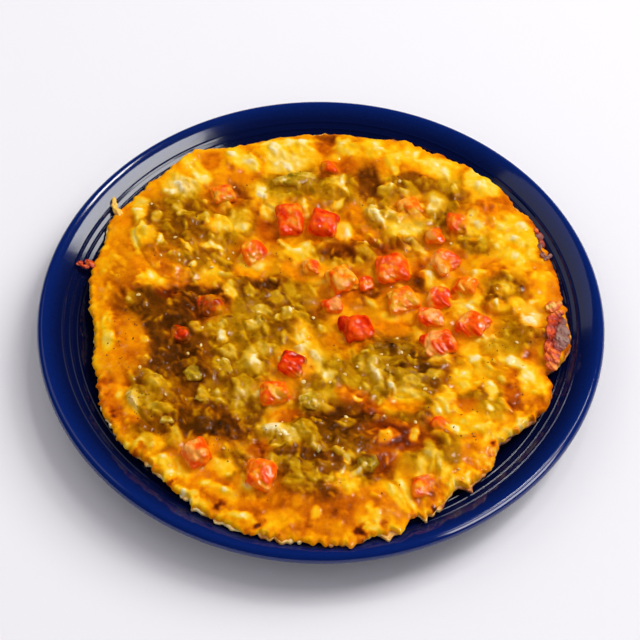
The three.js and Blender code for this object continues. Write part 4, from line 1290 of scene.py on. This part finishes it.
random = np.random.default_rng(77)
seedPlaces = crumbs["seedPlaces"] + randomPlaces(crumbs["seeds"], pulpy, random)
seedSizes = random.uniform(*crumbs["seedSize"], len(seedPlaces))
scatter("chile_seeds", seedPlaces, seedSizes, crumbs["seedThickness"], finishes["seed"],
        random)
speckPlaces = randomPlaces(crumbs["specks"] // 2, np.ones_like(fieldX), random)
while len(speckPlaces) < crumbs["specks"]:
    x, y = crumbs["speckClusters"][random.integers(len(crumbs["speckClusters"]))]
    spread = random.normal(0, crumbs["clusterSpread"], 2)
    speckPlaces.append((x + spread[0], y + spread[1]))
speckPlaces = [place for place in speckPlaces if math.dist(place, crispCentre) < crumbs["speckReach"]]
speckSizes = random.uniform(*crumbs["speckSize"], len(speckPlaces))
scatter("pepper", speckPlaces, speckSizes, crumbs["speckThickness"], finishes["pepper"], random)
print("seeds and pepper made")


# Floor, light and camera

def makeFloor():
    deselectAll()
    bpy.ops.mesh.primitive_plane_add(size=6)
    floor = bpy.context.object
    floor.name = "floor"
    material, tree = newMaterial("pale_paper")
    coverWith(tree, {"Base Color": toLinear("#F4F2F5"), "Roughness": 0.9, "Specular IOR Level": 0.1})
    floor.data.materials.append(material)


studio = {  # direction towards the light, distance in m, width and height in m, power in W, degrees turned
    "key": ((0.66, 0.4, 0.64), 4, (1.9, 1.9), 80, 0),
    "window": ((0.425, 0.215, 0.879), 2, (0.3, 1.02), 9.5, 32),
    "left": ((-0.47, 0.38, 0.8), 2, (0.9, 0.9), 1.6, 0),
    "spark": ((0.2, 0.42, 0.9), 2, (0.16, 0.16), 2.4, 0),
    "lipStrip": ((0.725, -0.28, 0.667), 2, (1, 1.2), 36, 65),
}


def makeLights():
    for name, (toward, distance, size, power, turn) in studio.items():
        direction = Vector(toward).normalized()
        bpy.ops.object.light_add(type="AREA", location=direction * distance)
        lamp = bpy.context.object
        lamp.name = name
        facing = direction.to_track_quat("Z", "Y") @ Quaternion((0, 0, 1), math.radians(turn))
        lamp.rotation_euler = facing.to_euler()
        lamp.visible_glossy = name != "key"  # the glaze mirrors the window, not the key light
        lamp.visible_diffuse = name != "lipStrip"  # which only shows in what is glossy
        lamp.data.shape = "RECTANGLE"
        lamp.data.size, lamp.data.size_y = size
        lamp.data.energy = power
    world = bpy.data.worlds.new("studio")
    scene.world = world
    world.use_nodes = True
    background = world.node_tree.nodes["Background"]
    background.inputs[0].default_value = toLinear("#F4F2F7")
    background.inputs[1].default_value = 0.5
    world.cycles_visibility.glossy = False  # the glaze mirrors a dark room


camera = {"target": (-0.41, -3.87, 20), "elevation": 53.99, "roll": 0.78, "distance": 950,
          "sensor": 36, "focalPixels": 2021.9, "imagePixels": 640}


def makeCamera():
    elevation = math.radians(camera["elevation"])
    back = Vector((0, -math.cos(elevation), math.sin(elevation)))
    tilt = Matrix.Rotation(math.radians(90) - elevation, 3, "X")
    roll = Matrix.Rotation(math.radians(camera["roll"]), 3, "Z")
    place = (Vector(camera["target"]) + back * camera["distance"]) * mm
    bpy.ops.object.camera_add(location=place, rotation=(tilt @ roll).to_euler())
    scene.camera = bpy.context.object
    scene.camera.data.sensor_width = camera["sensor"]
    scene.camera.data.lens = camera["sensor"] * camera["focalPixels"] / camera["imagePixels"]
    scene.camera.data.clip_start = 0.05
    scene.camera.data.clip_end = 20


makeFloor()
makeLights()
makeCamera()
scene.view_settings.view_transform = "Standard"
deselectAll()
